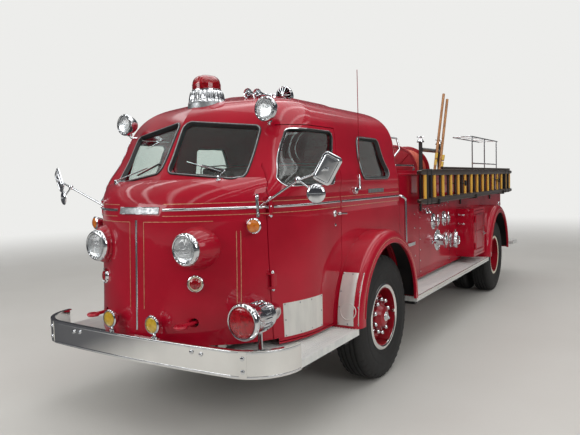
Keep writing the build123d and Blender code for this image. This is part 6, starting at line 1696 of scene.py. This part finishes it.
def shadeUnderFender(skin, axleY, places, first):
    rows, centre = [], Vector((axleY, fender["z"]))
    for x in places:
        turns = [math.radians(turn) for turn in range(first, 181 - first, arches["step"])]
        hits = [onSkin(skin, (x, axleY, arches["z"]), acrossX(turn, 1.0)) for turn in turns]
        if all(hits) and all((place.yz - centre).length < arches["reach"] for place, _ in hits):
            rows.append(settle(hits))
    return [skinPatch(rows, arches["rise"], arches["sink"])] if len(rows) > 1 else []


addPiece("archLinings", bothSides([solid for run in arches["runs"] for solid in shadeUnderFender(*run)]),
         "chassisPaint")

# Bench seat: cushion and back swollen by cloth pressure, then sewn channels and piping
seat = {"cushion": ((-0.758, -2.738, 1.279), (0.758, -2.314, 1.398)),
        "back": ((-0.758, -2.308, 1.279), (0.758, -2.212, 1.838)), "inset": 0.007, "round": 0.024,
        "voxel": 0.013, "pressure": 4.0, "frames": 20, "cap": 0.016, "channels": 8, "facing": 0.4,
        "groove": 0.006, "grooveWidth": 0.016, "piping": 0.0055, "pipingDrop": 0.016, "corner": 0.028}


def shapedMesh(piece):  # the mesh as its modifiers leave it
    made = bpy.data.meshes.new_from_object(piece.evaluated_get(bpy.context.evaluated_depsgraph_get()))
    piece.modifiers.clear()
    piece.data = made
    return made


def swell(piece, low, high):
    remesh = piece.modifiers.new("evenSkin", "REMESH")
    remesh.mode, remesh.voxel_size = "VOXEL", seat["voxel"]
    start = [vertex.co.copy() for vertex in shapedMesh(piece).vertices]
    cloth = piece.modifiers.new("stuffing", "CLOTH").settings
    cloth.use_pressure, cloth.uniform_pressure_force = True, seat["pressure"]
    cloth.effector_weights.gravity = 0
    for number in range(1, seat["frames"] + 1):
        bpy.context.scene.frame_set(number)
    shaped = shapedMesh(piece)
    bpy.context.scene.frame_set(1)
    for vertex, first in zip(shaped.vertices, start):
        move = vertex.co - first
        place = first + move * min(1.0, seat["cap"] / max(move.length, 1e-6))
        vertex.co = [min(max(value, bottom), top) for value, bottom, top in zip(place, low, high)]


def stuffed(name, low, high, axis, way):  # the sewn face looks along the axis, that way
    low, high, inset = Vector(low), Vector(high), Vector((seat["inset"],) * 3)
    piece = addObject(name, meshOf(name, [slab(low + inset, high - inset, seat["round"], steps=4)], 60))
    swell(piece, low, high)
    sewn = spread(low.x, high.x, seat["channels"])[1:-1]
    for vertex in piece.data.vertices:
        if vertex.normal[axis] * way > seat["facing"]:
            near = min(abs(vertex.co.x - x) for x in sewn)
            vertex.co[axis] -= way * seat["groove"] * math.exp(-(near / seat["grooveWidth"]) ** 2)
    smooth = piece.modifiers.new("smooth", "SUBSURF")
    smooth.levels = smooth.render_levels = 1
    piece.data.shade_smooth()
    piece.data.materials.clear()
    piece.data.materials.append(finishes["seatHide"])
    joinFrame(piece, "chassis", ("cab_seat",))


def pipingLoop(low, high, axis, level):  # a cord of hide around one face of a cushion
    flat = [index for index in range(3) if index != axis]
    near, far = ([corner[index] + grow for index in flat] for corner,
                 grow in ((low, seat["piping"]), (high, -seat["piping"])))
    loop = []
    for corner in roundedCorners(oblong(near, far), seat["corner"]):
        place = Vector((level, level, level))
        place[flat[0]], place[flat[1]] = corner
        loop.append(place)
    return tubeAlong(loop, seat["piping"], 8, True)


stuffed("seatCushion", *seat["cushion"], 2, 1)
stuffed("seatBack", *seat["back"], 1, -1)
pipings = [pipingLoop(*seat["cushion"], 2, seat["cushion"][1][2] - seat["pipingDrop"]),
           pipingLoop(*seat["back"], 1, seat["back"][0][1] + seat["pipingDrop"])]
addPiece("seatPiping", pipings, "seatHide", replaces=("cab_seat",))
print("seat and arch linings made")
